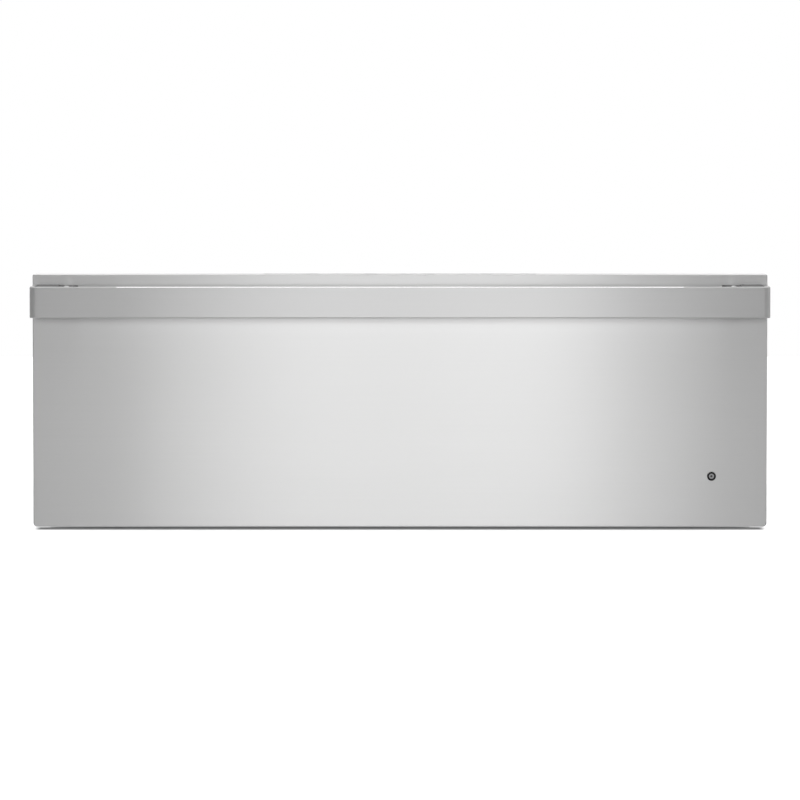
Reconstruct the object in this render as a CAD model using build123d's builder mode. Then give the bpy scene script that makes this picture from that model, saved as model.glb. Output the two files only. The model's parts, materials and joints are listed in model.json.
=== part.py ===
from build123d import *
import os

# Built-in warming drawer: an insulated steel casing with a heated, lined cavity, and a drawer that
# rides on full-extension ball slides behind a stainless front with a full-width strap handle.
# X runs across to the right, Y runs back from the user, Z runs up. X = 0 is the middle of the
# width, Y = 0 the middle of the whole depth, and Z = 0 the surface that the runners stand on.
# All sizes are in millimetres.

# ---- drawer front
front_width = 755.65
front_height = 260.35
front_lift = 2.5  # bottom edge above the surface that the casing stands on
front_depth = 20.0
front_skin = 1.0
front_backing = 0.8
front_gap = 5.0  # back of the drawer front to the cabinet face
front_bend = 1.2  # outer radius of the folded front edges
top_corner = 2.0
bottom_corner = 4.0
backing_play = 0.2
batt_thickness = 12.0  # insulation inside the drawer front
batt_margin = 14.0
batt_play = 2.0  # around what passes through it

# ---- strap handle and its two feet
handle_reach = 57.0  # face of the drawer front to the front of the strap
handle_drop = 10.5  # top of the strap below the top edge of the drawer front
strap_height = 32.0
strap_thickness = 5.0
strap_bend = 6.0
strap_edge = 1.5
return_gap = 1.0  # bent-back ends to the face of the drawer front
foot_inset = 35.8  # middle of a foot in from the end of the strap
foot_relief = 1.0  # foot below the top of the strap, and above its bottom
neck_width = 14.0
saddle_thickness = 3.5
saddle_tail = 40.0  # saddle towards the middle of the handle, from the neck
saddle_toe = 7.0  # saddle towards the end of the handle, from the neck
pad_thickness = 3.0
pad_spread = 4.0
saddle_fillet = 8.0
neck_fillet = 4.0
pad_fillet = 2.0
foot_edge = 1.0
plate_thickness = 2.0  # backing plates behind the skin
plate_width = 26.0
foot_screw_pitch = 18.0
foot_screw_radius = 2.4
foot_screw_bite = 12.0
strap_screw_radius = 1.9
strap_screw_bite = 3.0
strap_screw_near = 13.0  # from the neck to the first screw of a saddle
strap_screw_far = 33.0  # and to the second
screw_play = 0.1
head_ratio = 2.0  # screw heads: radius, height and recess width over the shank's radius
head_rise = 1.1
recess_ratio = 0.5

# ---- indicator light
indicator_inset = 57.0  # from the right edge of the drawer front
indicator_height = 52.2  # from its bottom edge
bezel_radius = 4.6
bezel_proud = 0.8
barrel_radius = 3.9
barrel_depth = 5.0
lens_radius = 3.0
lens_depth = 2.5
lamp_radius = 2.5
lamp_tip_radius = 1.2
lamp_length = 7.0
fit_play = 0.1

# ---- touch strip on top of the drawer front
key_count = 4
key_pitch = 60.0
key_length = 15.4
key_width = 7.4
key_corner = 1.8
key_edge = 0.3
key_play = 0.3
key_travel = 1.0
key_flange = 1.5
key_stop = 0.15  # stem to switch when a key is pressed fully
strip_margin = 20.0
strip_lip = 2.0  # glass hidden under the window's edge
window_corner = 2.0
glass_thickness = 3.0
bay_play = 0.5
housing_height = 20.0
housing_wall = 1.5
boss_height = 5.0
boss_radius = 1.5
boss_offset = 20.0  # beside its key
board_sheet = 1.6
switch_size = 6.0
switch_height = 3.5
plunger_radius = 1.5
plunger_height = 0.8
pipe_radius = 1.2
pipe_offset = 16.0  # light pipe beside its key

# ---- casing
front_overlap = 17.475  # drawer front beyond each side of the casing
casing_height = 231.8
casing_depth = 577.9
casing_sheet = 0.9
casing_flange = 12.0
rear_flange = 14.0
bead_width = 16.0  # stiffening beads pressed outwards in the top cover and the side panels
bead_rise = 1.2
bead_draft = 45.0
bead_margin = 70.0  # end of a bead to the front and the back of the casing
top_bead_count = 4
top_bead_pitch = 150.0
side_bead_count = 2
side_bead_pitch = 90.0
flange_reach = 13.65  # mounting flanges beyond the casing's sides
mount_hole_inset = 7.0
mount_hole_margin = 48.0
mount_hole_radius = 2.5
runner_height = 12.0
runner_sheet = 1.5
runner_width = 30.0
runner_brim = 10.0
runner_inset = 60.0
runner_end = 15.0
liner_sheet = 0.8
side_insulation = 19.25
floor_insulation = 16.3
top_insulation = 18.0
rear_insulation = 20.0
service_depth = 50.0  # electrical bay behind the cavity
gasket_width = 8.0
gasket_inset = 5.0
gasket_clearance = 0.3
gasket_corner = 6.0
gasket_round = 1.3

# ---- ball slides: three nested channels each side, with two ball cages between them
slide_thickness = 12.7
slide_height = 45.6
slide_setback = 2.0
slide_rear_gap = 3.3
slide_overlap = 40.0  # members still engaged at full opening
slide_lift = 65.0  # middle of the slides above the cavity floor
outer_sheet = 1.5
middle_sheet = 1.3
inner_sheet = 1.5
outer_lip = 10.2
middle_clearance = 0.4
ball_diameter = 3.7
ball_play = 0.05
ball_pitch = 28.0
cage_sheet = 0.6
cage_play = 0.45
cage_edge = 1.0
cage_margin = 5.0
lever_thickness = 4.5
lever_gap = 0.3
lever_setback = 70.0
lever_reach = 45.0
lever_height = 6.0
lever_eye = 5.0
lever_tab = 4.5
lever_tail = 18.0
lever_pin_radius = 2.0
lever_pin_play = 0.05

# ---- drawer carriage, pan and rack
rail_sheet = 1.2
rail_front_flange = 24.0
rail_screw_bite = 3.0
rail_screw_radius = 1.9
rail_screw_margin = 16.0
rim_drop = 27.0  # pan rim below the cavity ceiling
rim_width = 14.0
pan_play = 1.0
pan_front_gap = 3.0
pan_floor_gap = 25.0  # pan bottom above the cavity floor
pan_sheet = 0.8
pan_corner = 28.0
pan_foot_radius = 10.0
pan_draft = 2.0
rack_gap = 14.0
rack_height = 20.0
rack_ring_radius = 2.5
rack_foot_radius = 2.0
rack_wire_radius = 1.5
rack_wire_pitch = 34.0
rack_weld = 0.8  # wires sunk into the ring
rack_corner = 30.0
rack_foot_inset = 60.0

# ---- heater, sensors and electrical bay
element_diameter = 6.5
element_lift = 8.0  # middle of the heater tube above the cavity floor
element_pitch = 130.0
element_bend = 50.0
element_front_gap = 60.0
element_rear_gap = 70.0
element_play = 0.2
stud_radius = 1.5
stud_length = 10.0
element_tail = 12.0  # tube beyond the bulkhead
clip_width = 14.0
clip_length = 6.0
clip_cap = 1.5
clip_margin = 40.0
sensor_lift = 12.0
sensor_radius = 2.5
sensor_reach = 45.0
sensor_tip = 2.0  # rounding of the probe's tip
sensor_flange = 1.2
sensor_flange_radius = 7.5
sensor_tail = 14.0
cutout_x = 60.0
cutout_radius = 8.0
cutout_depth = 7.0
blade_thickness = 0.8
blade_width = 6.0
board_inset = 170.35  # middle of the power board in from the side of the casing
board_width = 150.0
board_height = 100.0
board_standoff = 8.0
board_hole_inset = 6.0
standoff_radius = 3.0
# blocks on the power board: across and up from its middle, width, height, depth
transformer = (-40.0, 20.0, 42.0, 34.0, 26.0)
relay_near = (8.0, 24.0, 20.0, 28.0, 16.0)
relay_far = (38.0, 24.0, 20.0, 28.0, 16.0)
heat_sink = (-30.0, -32.0, 60.0, 9.0, 11.0)
connector = (40.0, -30.0, 34.0, 12.0, 9.0)
capacitor_radius = 5.0
capacitor_height = 20.0
capacitor_offset = 8.0
terminal_inset = 130.35  # middle of the terminal block in from the other side
terminal_drop = 60.0  # terminal block below the middle of the casing
terminal_width = 46.0
terminal_height = 24.0
terminal_depth = 22.0
terminal_poles = 3
terminal_well_radius = 5.0
terminal_well_depth = 11.0
gland_bore = 4.2
gland_body = 9.0
gland_flange = 13.0
gland_reach = 4.0
gland_nut = 6.0
vent_length = 40.0
vent_width = 4.0
vent_pitch = 10.0
vent_rows = 6
vent_columns = 3
cover_screw_radius = 1.9
cover_screw_bite = 8.0

# ---- positions that follow from the sizes
front_half = front_width / 2
front_top_z = front_lift + front_height
front_middle_z = front_lift + front_height / 2
casing_half = front_half - front_overlap
overall_depth = handle_reach + front_depth + front_gap + casing_depth + gland_reach
strap_y = -overall_depth / 2
face_y = strap_y + handle_reach
front_back_y = face_y + front_depth
cabinet_y = front_back_y + front_gap
casing_back_y = cabinet_y + casing_depth
bulkhead_y = casing_back_y - casing_sheet - service_depth - casing_sheet
bay_face_y = bulkhead_y + casing_sheet
cavity_back_y = bulkhead_y - rear_insulation - liner_sheet
cavity_half = casing_half - casing_sheet - side_insulation - liner_sheet
floor_z = runner_height + casing_sheet + floor_insulation + liner_sheet
ceiling_z = casing_height - casing_sheet - top_insulation - liner_sheet
cavity_middle_z = (floor_z + ceiling_z) / 2
casing_middle_z = (runner_height + casing_height) / 2
inside_half = casing_half - casing_sheet
tray_half = inside_half - casing_sheet
base_top_z = runner_height + casing_sheet
cover_low_z = casing_height - casing_sheet
cover_front_y = casing_back_y - casing_sheet
board_x = board_inset - casing_half
terminal_x = casing_half - terminal_inset
liner_half = cavity_half + liner_sheet
liner_z = (floor_z - liner_sheet, ceiling_z + liner_sheet)
frame_front_y = cabinet_y - casing_sheet
bead_length = casing_depth - 2 * bead_margin
bead_y = (cabinet_y + casing_back_y) / 2

strap_top_z = front_top_z - handle_drop
strap_low_z = strap_top_z - strap_height
strap_middle_z = strap_top_z - strap_height / 2
strap_back_y = strap_y + strap_thickness
saddle_y = strap_back_y + saddle_thickness
foot_x = front_half - foot_inset
neck_in = foot_x - neck_width / 2
neck_out = foot_x + neck_width / 2
strap_screw_x = [neck_in - strap_screw_near, neck_in - strap_screw_far]
foot_screw_z = [strap_middle_z - foot_screw_pitch / 2, strap_middle_z + foot_screw_pitch / 2]
plate_y = face_y + front_skin
backing_y = front_back_y - front_backing
batt_y = backing_y - batt_thickness
indicator_x = front_half - indicator_inset
indicator_z = front_lift + indicator_height

bay_middle_y = (plate_y + backing_y) / 2
strip_width = backing_y - plate_y - 2 * bay_play
window_half = key_count * key_pitch / 2 + strip_margin
strip_half = window_half + strip_lip
glass_top_z = front_top_z - front_skin
glass_low_z = glass_top_z - glass_thickness
housing_z = glass_low_z - housing_height
board_z = housing_z + housing_wall + boss_height
board_top_z = board_z + board_sheet
plunger_z = board_top_z + switch_height + plunger_height
key_x = [(i - (key_count - 1) / 2) * key_pitch for i in range(key_count)]

slide_length = cavity_back_y - cabinet_y - slide_setback - slide_rear_gap
drawer_travel = slide_length - slide_overlap
slide_front_y = cabinet_y + slide_setback
slide_back_y = slide_front_y + slide_length
slide_middle_y = (slide_front_y + slide_back_y) / 2
slide_z = floor_z + slide_lift
race_gap = ball_diameter + 2 * ball_play
outer_half = slide_height / 2
middle_half = outer_half - outer_sheet - race_gap
inner_half = middle_half - middle_sheet - race_gap
outer_row = middle_half + race_gap / 2
inner_row = inner_half + race_gap / 2
outer_cage_web = outer_sheet + cage_play
middle_web = outer_cage_web + cage_sheet + cage_play
middle_lip = slide_thickness - inner_sheet - middle_clearance
inner_cage_web = middle_web + middle_sheet + cage_play
inner_lip = inner_cage_web + cage_sheet + cage_play
outer_ball = (middle_web + outer_lip) / 2
inner_ball = (inner_lip + middle_lip) / 2
cage_length = slide_length - drawer_travel / 2 - 2 * cage_margin
balls_per_row = int(cage_length // ball_pitch)
lever_y = slide_front_y + lever_setback
lever_inner = slide_thickness - inner_sheet - lever_gap

rail_half = cavity_half - slide_thickness
rail_low_z = slide_z - inner_half
rim_z = ceiling_z - rim_drop
rim_half = rail_half - rail_sheet - pan_play
pan_half = rim_half - rim_width
rim_front_y = front_back_y + rail_sheet + pan_front_gap
rim_back_y = slide_back_y - rail_sheet - pan_play
rim_middle_y = (rim_front_y + rim_back_y) / 2
rim_length = rim_back_y - rim_front_y
pan_length = rim_length - 2 * rim_width
pan_low_z = floor_z + pan_floor_gap
rail_screw_z = [rail_low_z + rail_screw_margin, rim_z - rail_screw_margin]
rail_screw_x = rail_half - rail_front_flange / 2
rack_half = pan_half - rack_gap
rack_length = pan_length - 2 * rack_gap
rack_z = pan_low_z + pan_sheet + rack_height

element_z = floor_z + element_lift
element_radius = element_diameter / 2
element_x = [(i - 1.5) * element_pitch for i in range(4)]
element_front_y = cabinet_y + element_front_gap
element_rear_y = cavity_back_y - element_rear_gap
element_end_y = bay_face_y + element_tail
sensor_z = floor_z + sensor_lift
gland_z = casing_middle_z
cover_screw_x = inside_half - rear_flange / 2
mount_hole_x = casing_half + flange_reach - mount_hole_inset
mount_hole_z = [runner_height + mount_hole_margin, casing_height - mount_hole_margin]
cover_screw_z = [mount_hole_z[0], casing_middle_z, mount_hole_z[1]]
sides = ((-1, "left"), (1, "right"))


def slab(x, y, z, mode=Mode.ADD):
    """Rectangular block between two places along each of X, Y and Z."""
    with Locations((sum(x) / 2, sum(y) / 2, sum(z) / 2)):
        Box(x[1] - x[0], y[1] - y[0], z[1] - z[0], mode=mode)


def rod(x, z, y_front, y_back, radius, mode=Mode.ADD):
    """Round bar along Y between two places."""
    with Locations((x, (y_front + y_back) / 2, z)):
        Cylinder(radius, y_back - y_front, rotation=(90, 0, 0), mode=mode)


def screw(x, seat_y, z, radius, bite):
    """Pan-head screw along Y: head behind its seat, cross recess in the head, shank to the front."""
    head_height = head_rise * radius
    slot = recess_ratio * radius
    recess = (seat_y + head_height / 2, seat_y + head_height)
    rod(x, z, seat_y - bite, seat_y, radius)
    rod(x, z, seat_y, seat_y + head_height, head_ratio * radius)
    slab((x - radius, x + radius), recess, (z - slot / 2, z + slot / 2), Mode.SUBTRACT)
    slab((x - slot / 2, x + slot / 2), recess, (z - radius, z + radius), Mode.SUBTRACT)


def tray(z_sheet, z_lip, z_inside):
    """Folded sheet as large as the casing's inside, its side and back flanges reaching z_lip."""
    hollow_y = (cabinet_y, cover_front_y - casing_sheet)
    slab((-inside_half, inside_half), (cabinet_y, cover_front_y), sorted((z_sheet, z_lip)))
    slab((-tray_half, tray_half), hollow_y, sorted((z_inside, z_lip)), Mode.SUBTRACT)


def beads(outside, middle, turn, pitches, counts, way=1):
    """Stiffening beads pressed in a casing sheet: raised on its outside, hollow by as much behind."""
    inside = outside.offset(-way * casing_sheet)
    for face, mode in ((outside, Mode.ADD), (inside, Mode.SUBTRACT)):
        with BuildSketch(face) as outline:
            with Locations(middle):
                with GridLocations(*pitches, *counts):
                    SlotOverall(bead_length, bead_width, rotation=turn)
        extrude(outline.sketch, amount=way * bead_rise, taper=bead_draft, mode=mode)


def channel(side, web, lip, half_height, sheet, length):
    """Folded channel along Y on one side; web and lip are distances in from the cavity wall."""
    fold = sheet if lip > web else -sheet
    corners = [
        (web, -half_height),
        (lip, -half_height),
        (lip, sheet - half_height),
        (web + fold, sheet - half_height),
        (web + fold, half_height - sheet),
        (lip, half_height - sheet),
        (lip, half_height),
        (web, half_height),
    ]
    with BuildSketch(Plane.XZ.offset(-slide_middle_y)) as section:
        with BuildLine():
            Polyline(*[(side * (cavity_half - u), slide_z + v) for u, v in corners], close=True)
        make_face()
    extrude(section.sketch, amount=length / 2, both=True)


def ball_cage(side, web, ball, row):
    """Thin channel with a row of holes in each flange, and a loose ball in every hole."""
    radius = ball_diameter / 2
    channel(side, web, ball + radius + cage_edge, row + cage_sheet / 2, cage_sheet, cage_length)
    x = side * (cavity_half - ball)
    places = [slide_middle_y + (i - (balls_per_row - 1) / 2) * ball_pitch for i in range(balls_per_row)]
    with Locations(*[(x, y, slide_z) for y in places]):
        Cylinder(radius + ball_play, 2 * row + 2 * cage_sheet, mode=Mode.SUBTRACT)
    with Locations(*[(x, y, slide_z + up * row) for y in places for up in (-1, 1)]):
        Sphere(radius)


def pan_body(inset):
    """Solid form of the drawn pan below its rim, smaller by inset at the sides and the bottom."""
    with BuildPart() as body:
        with BuildSketch(Plane.XY.offset(rim_z)):
            with Locations((0, rim_middle_y)):
                RectangleRounded(2 * (pan_half - inset), pan_length - 2 * inset, pan_corner - inset)
        extrude(amount=pan_low_z + inset - rim_z, taper=pan_draft)
        fillet(body.faces().sort_by(Axis.Z)[0].edges(), pan_foot_radius - inset)
    return body.part


os.makedirs("parts", exist_ok=True)

# ---- casing shell -------------------------------------------------------------------------------

with BuildPart() as base_pan:
    tray(runner_height, runner_height + casing_flange, base_top_z)
base_pan.part.label = "base_pan"
export_step(base_pan.part, "parts/base_pan.step")

with BuildPart() as top_cover:
    tray(casing_height, casing_height - casing_flange, cover_low_z)
    beads(Plane.XY.offset(casing_height), (0, bead_y), 90, (top_bead_pitch, 1), (top_bead_count, 1))
top_cover.part.label = "top_cover"
export_step(top_cover.part, "parts/top_cover.step")

# hat-section runners, brim up against the base pan
with BuildPart() as base_runners:
    crown = runner_width / 2
    brim = crown + runner_brim
    hat = [
        (-brim, runner_height),
        (-brim, runner_height - runner_sheet),
        (-crown, runner_height - runner_sheet),
        (-crown, 0),
        (crown, 0),
        (crown, runner_height - runner_sheet),
        (brim, runner_height - runner_sheet),
        (brim, runner_height),
        (crown - runner_sheet, runner_height),
        (crown - runner_sheet, runner_sheet),
        (runner_sheet - crown, runner_sheet),
        (runner_sheet - crown, runner_height),
    ]
    with BuildSketch(Plane.XZ.offset(-(casing_back_y - runner_end))):
        for side, hand in sides:
            with BuildLine():
                Polyline(*[(side * (casing_half - runner_inset) + u, v) for u, v in hat], close=True)
            make_face()
    extrude(amount=casing_depth - 2 * runner_end)
base_runners.part.label = "base_runners"
export_step(base_runners.part, "parts/base_runners.step")

# side panels: a mounting flange turned out at the front, a cover flange turned in at the back
for side, hand in sides:
    with BuildPart() as side_panel:
        with BuildSketch(Plane.XY.offset(runner_height)):
            with BuildLine():
                Polyline(
                    (side * inside_half, frame_front_y),
                    (side * (casing_half + flange_reach), frame_front_y),
                    (side * (casing_half + flange_reach), cabinet_y),
                    (side * casing_half, cabinet_y),
                    (side * casing_half, cover_front_y),
                    (side * inside_half, cover_front_y),
                    close=True,
                )
            make_face()
        extrude(amount=casing_height - runner_height)
        slab(
            sorted((side * inside_half, side * (inside_half - rear_flange))),
            (cover_front_y - casing_sheet, cover_front_y),
            (runner_height + casing_flange + fit_play, casing_height - casing_flange - fit_play),
        )
        with BuildSketch(Plane.XZ.offset(-cabinet_y)):
            with Locations(*[(side * mount_hole_x, z) for z in mount_hole_z]):
                Circle(mount_hole_radius)
        extrude(amount=casing_sheet, mode=Mode.SUBTRACT)
        for z in cover_screw_z:
            hole = cover_screw_radius + screw_play
            rod(side * cover_screw_x, z, cover_front_y - casing_sheet, cover_front_y, hole, Mode.SUBTRACT)
        panel = Plane.YZ.offset(side * casing_half)
        beads(panel, (bead_y, casing_middle_z), 0, (1, side_bead_pitch), (1, side_bead_count), side)
    side_panel.part.label = f"side_panel_{hand}"
    export_step(side_panel.part, f"parts/side_panel_{hand}.step")

# face frame between the side panels, around the mouth of the cavity
with BuildPart() as front_frame:
    slab((-inside_half, inside_half), (frame_front_y, cabinet_y), (runner_height, casing_height))
    slab((-cavity_half, cavity_half), (frame_front_y, cabinet_y), (floor_z, ceiling_z), Mode.SUBTRACT)
front_frame.part.label = "front_frame"
export_step(front_frame.part, "parts/front_frame.step")

with BuildPart() as door_gasket:
    inset = gasket_inset + gasket_width
    with BuildSketch(Plane.XZ.offset(-frame_front_y)):
        with Locations((0, cavity_middle_z)):
            RectangleRounded(
                2 * (cavity_half + inset), ceiling_z - floor_z + 2 * inset, gasket_corner + gasket_width
            )
            RectangleRounded(
                2 * (cavity_half + gasket_inset),
                ceiling_z - floor_z + 2 * gasket_inset,
                gasket_corner,
                mode=Mode.SUBTRACT,
            )
    extrude(amount=front_gap - casing_sheet - gasket_clearance)
    fillet(door_gasket.faces().sort_by(Axis.Y)[0].edges(), gasket_round)
door_gasket.part.label = "door_gasket"
export_step(door_gasket.part, "parts/door_gasket.step")

with BuildPart() as rear_cover:
    slab((-casing_half, casing_half), (cover_front_y, casing_back_y), (runner_height, casing_height))
    with BuildSketch(Plane.XZ.offset(-casing_back_y)):
        with Locations((board_x, casing_middle_z)):
            with GridLocations(vent_length + vent_pitch, vent_pitch, vent_columns, vent_rows):
                SlotOverall(vent_length, vent_width)
        with Locations(*[(side * cover_screw_x, z) for side, hand in sides for z in cover_screw_z]):
            Circle(cover_screw_radius + screw_play)
        with Locations((terminal_x, gland_z)):
            Circle(gland_body + fit_play)
    extrude(amount=casing_sheet, mode=Mode.SUBTRACT)
rear_cover.part.label = "rear_cover"
export_step(rear_cover.part, "parts/rear_cover.step")

with BuildPart() as rear_cover_screws:
    for side, hand in sides:
        for z in cover_screw_z:
            screw(side * cover_screw_x, casing_back_y, z, cover_screw_radius, cover_screw_bite)
rear_cover_screws.part.label = "rear_cover_screws"
export_step(rear_cover_screws.part, "parts/rear_cover_screws.step")

# bulkhead that carries the electrical parts, with a raised standoff at each corner of the board
with BuildPart() as rear_bulkhead:
    post_x = board_width / 2 - board_hole_inset
    post_z = board_height / 2 - board_hole_inset
    slab((-tray_half, tray_half), (bulkhead_y, bay_face_y), (base_top_z, cover_low_z))
    for x in (element_x[0], element_x[-1]):
        rod(x, element_z, bulkhead_y, bay_face_y, element_radius + element_play, Mode.SUBTRACT)
    rod(0, sensor_z, bulkhead_y, bay_face_y, sensor_radius + element_play, Mode.SUBTRACT)
    for x in (board_x - post_x, board_x + post_x):
        for z in (casing_middle_z - post_z, casing_middle_z + post_z):
            rod(x, z, bay_face_y, bay_face_y + board_standoff, standoff_radius)
rear_bulkhead.part.label = "rear_bulkhead"
export_step(rear_bulkhead.part, "parts/rear_bulkhead.step")

# ---- cavity liner and insulation ----------------------------------------------------------------

with BuildPart() as cavity_floor:
    slab((-liner_half, liner_half), (cabinet_y, cavity_back_y), (floor_z - liner_sheet, floor_z))
cavity_floor.part.label = "cavity_floor"
export_step(cavity_floor.part, "parts/cavity_floor.step")

with BuildPart() as cavity_ceiling:
    slab((-liner_half, liner_half), (cabinet_y, cavity_back_y), (ceiling_z, ceiling_z + liner_sheet))
cavity_ceiling.part.label = "cavity_ceiling"
export_step(cavity_ceiling.part, "parts/cavity_ceiling.step")

for side, hand in sides:
    with BuildPart() as cavity_wall:
        wall_x = sorted((side * cavity_half, side * liner_half))
        slab(wall_x, (cabinet_y, cavity_back_y), (floor_z, ceiling_z))
    cavity_wall.part.label = f"cavity_wall_{hand}"
    export_step(cavity_wall.part, f"parts/cavity_wall_{hand}.step")

with BuildPart() as cavity_rear_wall:
    wall = (cavity_back_y, cavity_back_y + liner_sheet)
    slab((-liner_half, liner_half), wall, liner_z)
    for x in (element_x[0], element_x[-1]):
        rod(x, element_z, *wall, element_radius + element_play, Mode.SUBTRACT)
    rod(0, sensor_z, *wall, sensor_radius + element_play, Mode.SUBTRACT)
cavity_rear_wall.part.label = "cavity_rear_wall"
export_step(cavity_rear_wall.part, "parts/cavity_rear_wall.step")

with BuildPart() as insulation_floor:
    slab((-tray_half, tray_half), (cabinet_y, bulkhead_y), (base_top_z, floor_z - liner_sheet))
insulation_floor.part.label = "insulation_floor"
export_step(insulation_floor.part, "parts/insulation_floor.step")

with BuildPart() as insulation_top:
    slab((-tray_half, tray_half), (cabinet_y, bulkhead_y), (ceiling_z + liner_sheet, cover_low_z))
insulation_top.part.label = "insulation_top"
export_step(insulation_top.part, "parts/insulation_top.step")

with BuildPart() as insulation_sides:
    for side, hand in sides:
        slab(sorted((side * liner_half, side * inside_half)), (cabinet_y, bulkhead_y), liner_z)
insulation_sides.part.label = "insulation_sides"
export_step(insulation_sides.part, "parts/insulation_sides.step")

with BuildPart() as insulation_rear:
    batt = (cavity_back_y + liner_sheet, bulkhead_y)
    slab((-liner_half, liner_half), batt, liner_z)
    for x in (element_x[0], element_x[-1]):
        rod(x, element_z, *batt, element_radius + element_play, Mode.SUBTRACT)
    rod(0, sensor_z, *batt, sensor_radius + element_play, Mode.SUBTRACT)
insulation_rear.part.label = "insulation_rear"
export_step(insulation_rear.part, "parts/insulation_rear.step")

# ---- heater and electrical parts ----------------------------------------------------------------

with BuildPart() as heating_element:
    with BuildLine(Plane.XY.offset(element_z)) as loop:
        FilletPolyline(
            (element_x[0], element_end_y),
            (element_x[0], element_front_y),
            (element_x[1], element_front_y),
            (element_x[1], element_rear_y),
            (element_x[2], element_rear_y),
            (element_x[2], element_front_y),
            (element_x[3], element_front_y),
            (element_x[3], element_end_y),
            radius=element_bend,
        )
    with BuildSketch(Plane(origin=loop.line @ 0, z_dir=loop.line % 0)):
        Circle(element_radius)
    sweep()
    for x in (element_x[0], element_x[-1]):
        rod(x, element_z, element_end_y, element_end_y + stud_length, stud_radius)
heating_element.part.label = "heating_element"
export_step(heating_element.part, "parts/heating_element.step")

# saddles that hold the heater tube off the cavity floor, two under every run
with BuildPart() as element_clips:
    bend_margin = element_bend + clip_margin
    for x in element_x:
        for y in (element_front_y + bend_margin, element_rear_y - bend_margin):
            slab(
                (x - clip_width / 2, x + clip_width / 2),
                (y - clip_length / 2, y + clip_length / 2),
                (floor_z, element_z + element_radius + clip_cap),
            )
            ends = (y - clip_length / 2, y + clip_length / 2)
            rod(x, element_z, *ends, element_radius + element_play, Mode.SUBTRACT)
element_clips.part.label = "element_clips"
export_step(element_clips.part, "parts/element_clips.step")

with BuildPart() as temperature_sensor:
    rod(0, sensor_z, cavity_back_y - sensor_reach, bay_face_y + sensor_tail, sensor_radius)
    rod(0, sensor_z, cavity_back_y - sensor_flange, cavity_back_y, sensor_flange_radius)
    fillet(temperature_sensor.edges().sort_by(Axis.Y)[0], sensor_tip)
temperature_sensor.part.label = "temperature_sensor"
export_step(temperature_sensor.part, "parts/temperature_sensor.step")

# snap-disc thermostat with its bracket and two blade terminals
with BuildPart() as thermal_cutout:
    disc_y = bay_face_y + sensor_flange
    slab(
        (cutout_x - 2 * cutout_radius, cutout_x + 2 * cutout_radius),
        (bay_face_y, disc_y),
        (casing_middle_z - cutout_radius, casing_middle_z + cutout_radius),
    )
    rod(cutout_x, casing_middle_z, disc_y, disc_y + cutout_depth, cutout_radius)
    for across in (-1, 1):
        blade_x = cutout_x + across * cutout_radius / 2
        slab(
            (blade_x - blade_thickness / 2, blade_x + blade_thickness / 2),
            (disc_y + cutout_depth, disc_y + 2 * cutout_depth),
            (casing_middle_z - blade_width / 2, casing_middle_z + blade_width / 2),
        )
thermal_cutout.part.label = "thermal_cutout"
export_step(thermal_cutout.part, "parts/thermal_cutout.step")

# power board: transformer, two relays, heat sink, connector and two capacitors
with BuildPart() as control_board:
    board_y = bay_face_y + board_standoff
    top_y = board_y + board_sheet
    slab(
        (board_x - board_width / 2, board_x + board_width / 2),
        (board_y, top_y),
        (casing_middle_z - board_height / 2, casing_middle_z + board_height / 2),
    )
    for across, up, width, height, depth in (transformer, relay_near, relay_far, heat_sink, connector):
        slab(
            (board_x + across - width / 2, board_x + across + width / 2),
            (top_y, top_y + depth),
            (casing_middle_z + up - height / 2, casing_middle_z + up + height / 2),
        )
    for x in (board_x - capacitor_offset, board_x + capacitor_offset):
        rod(x, casing_middle_z - capacitor_offset, top_y, top_y + capacitor_height, capacitor_radius)
control_board.part.label = "control_board"
export_step(control_board.part, "parts/control_board.step")

with BuildPart() as terminal_block:
    terminal_z = casing_middle_z - terminal_drop
    pole = terminal_width / terminal_poles
    block_back_y = bay_face_y + terminal_depth
    slab(
        (terminal_x - terminal_width / 2, terminal_x + terminal_width / 2),
        (bay_face_y, block_back_y),
        (terminal_z - terminal_height / 2, terminal_z + terminal_height / 2),
    )
    for i in range(terminal_poles):
        x = terminal_x + (i - (terminal_poles - 1) / 2) * pole
        well_y = block_back_y - terminal_well_depth
        rod(x, terminal_z, well_y, block_back_y, terminal_well_radius, Mode.SUBTRACT)
terminal_block.part.label = "terminal_block"
export_step(terminal_block.part, "parts/terminal_block.step")

# strain-relief gland in the rear cover: flange outside, nut inside, open bore for the supply cord
with BuildPart() as cord_gland:
    inner_end_y = cover_front_y - 2 * gland_nut
    outer_end_y = casing_back_y + gland_reach
    rod(terminal_x, gland_z, casing_back_y, outer_end_y, gland_flange)
    rod(terminal_x, gland_z, inner_end_y, casing_back_y, gland_body)
    rod(terminal_x, gland_z, cover_front_y - gland_nut, cover_front_y, gland_flange)
    rod(terminal_x, gland_z, inner_end_y, outer_end_y, gland_bore, Mode.SUBTRACT)
cord_gland.part.label = "cord_gland"
export_step(cord_gland.part, "parts/cord_gland.step")

# ---- ball slides --------------------------------------------------------------------------------

with BuildPart() as outer_slides:
    for side, hand in sides:
        channel(side, 0, outer_lip, outer_half, outer_sheet, slide_length)
outer_slides.part.label = "outer_slides"
export_step(outer_slides.part, "parts/outer_slides.step")

# the inner members carry the pins that the release levers turn on
with BuildPart() as inner_slides:
    for side, hand in sides:
        channel(side, slide_thickness, inner_lip, inner_half, inner_sheet, slide_length)
        pin_length = slide_thickness - inner_sheet - inner_lip
        with Locations((side * (cavity_half - inner_lip - pin_length / 2), lever_y, slide_z)):
            Cylinder(lever_pin_radius, pin_length, rotation=(0, 90, 0))
inner_slides.part.label = "inner_slides"
export_step(inner_slides.part, "parts/inner_slides.step")

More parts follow.
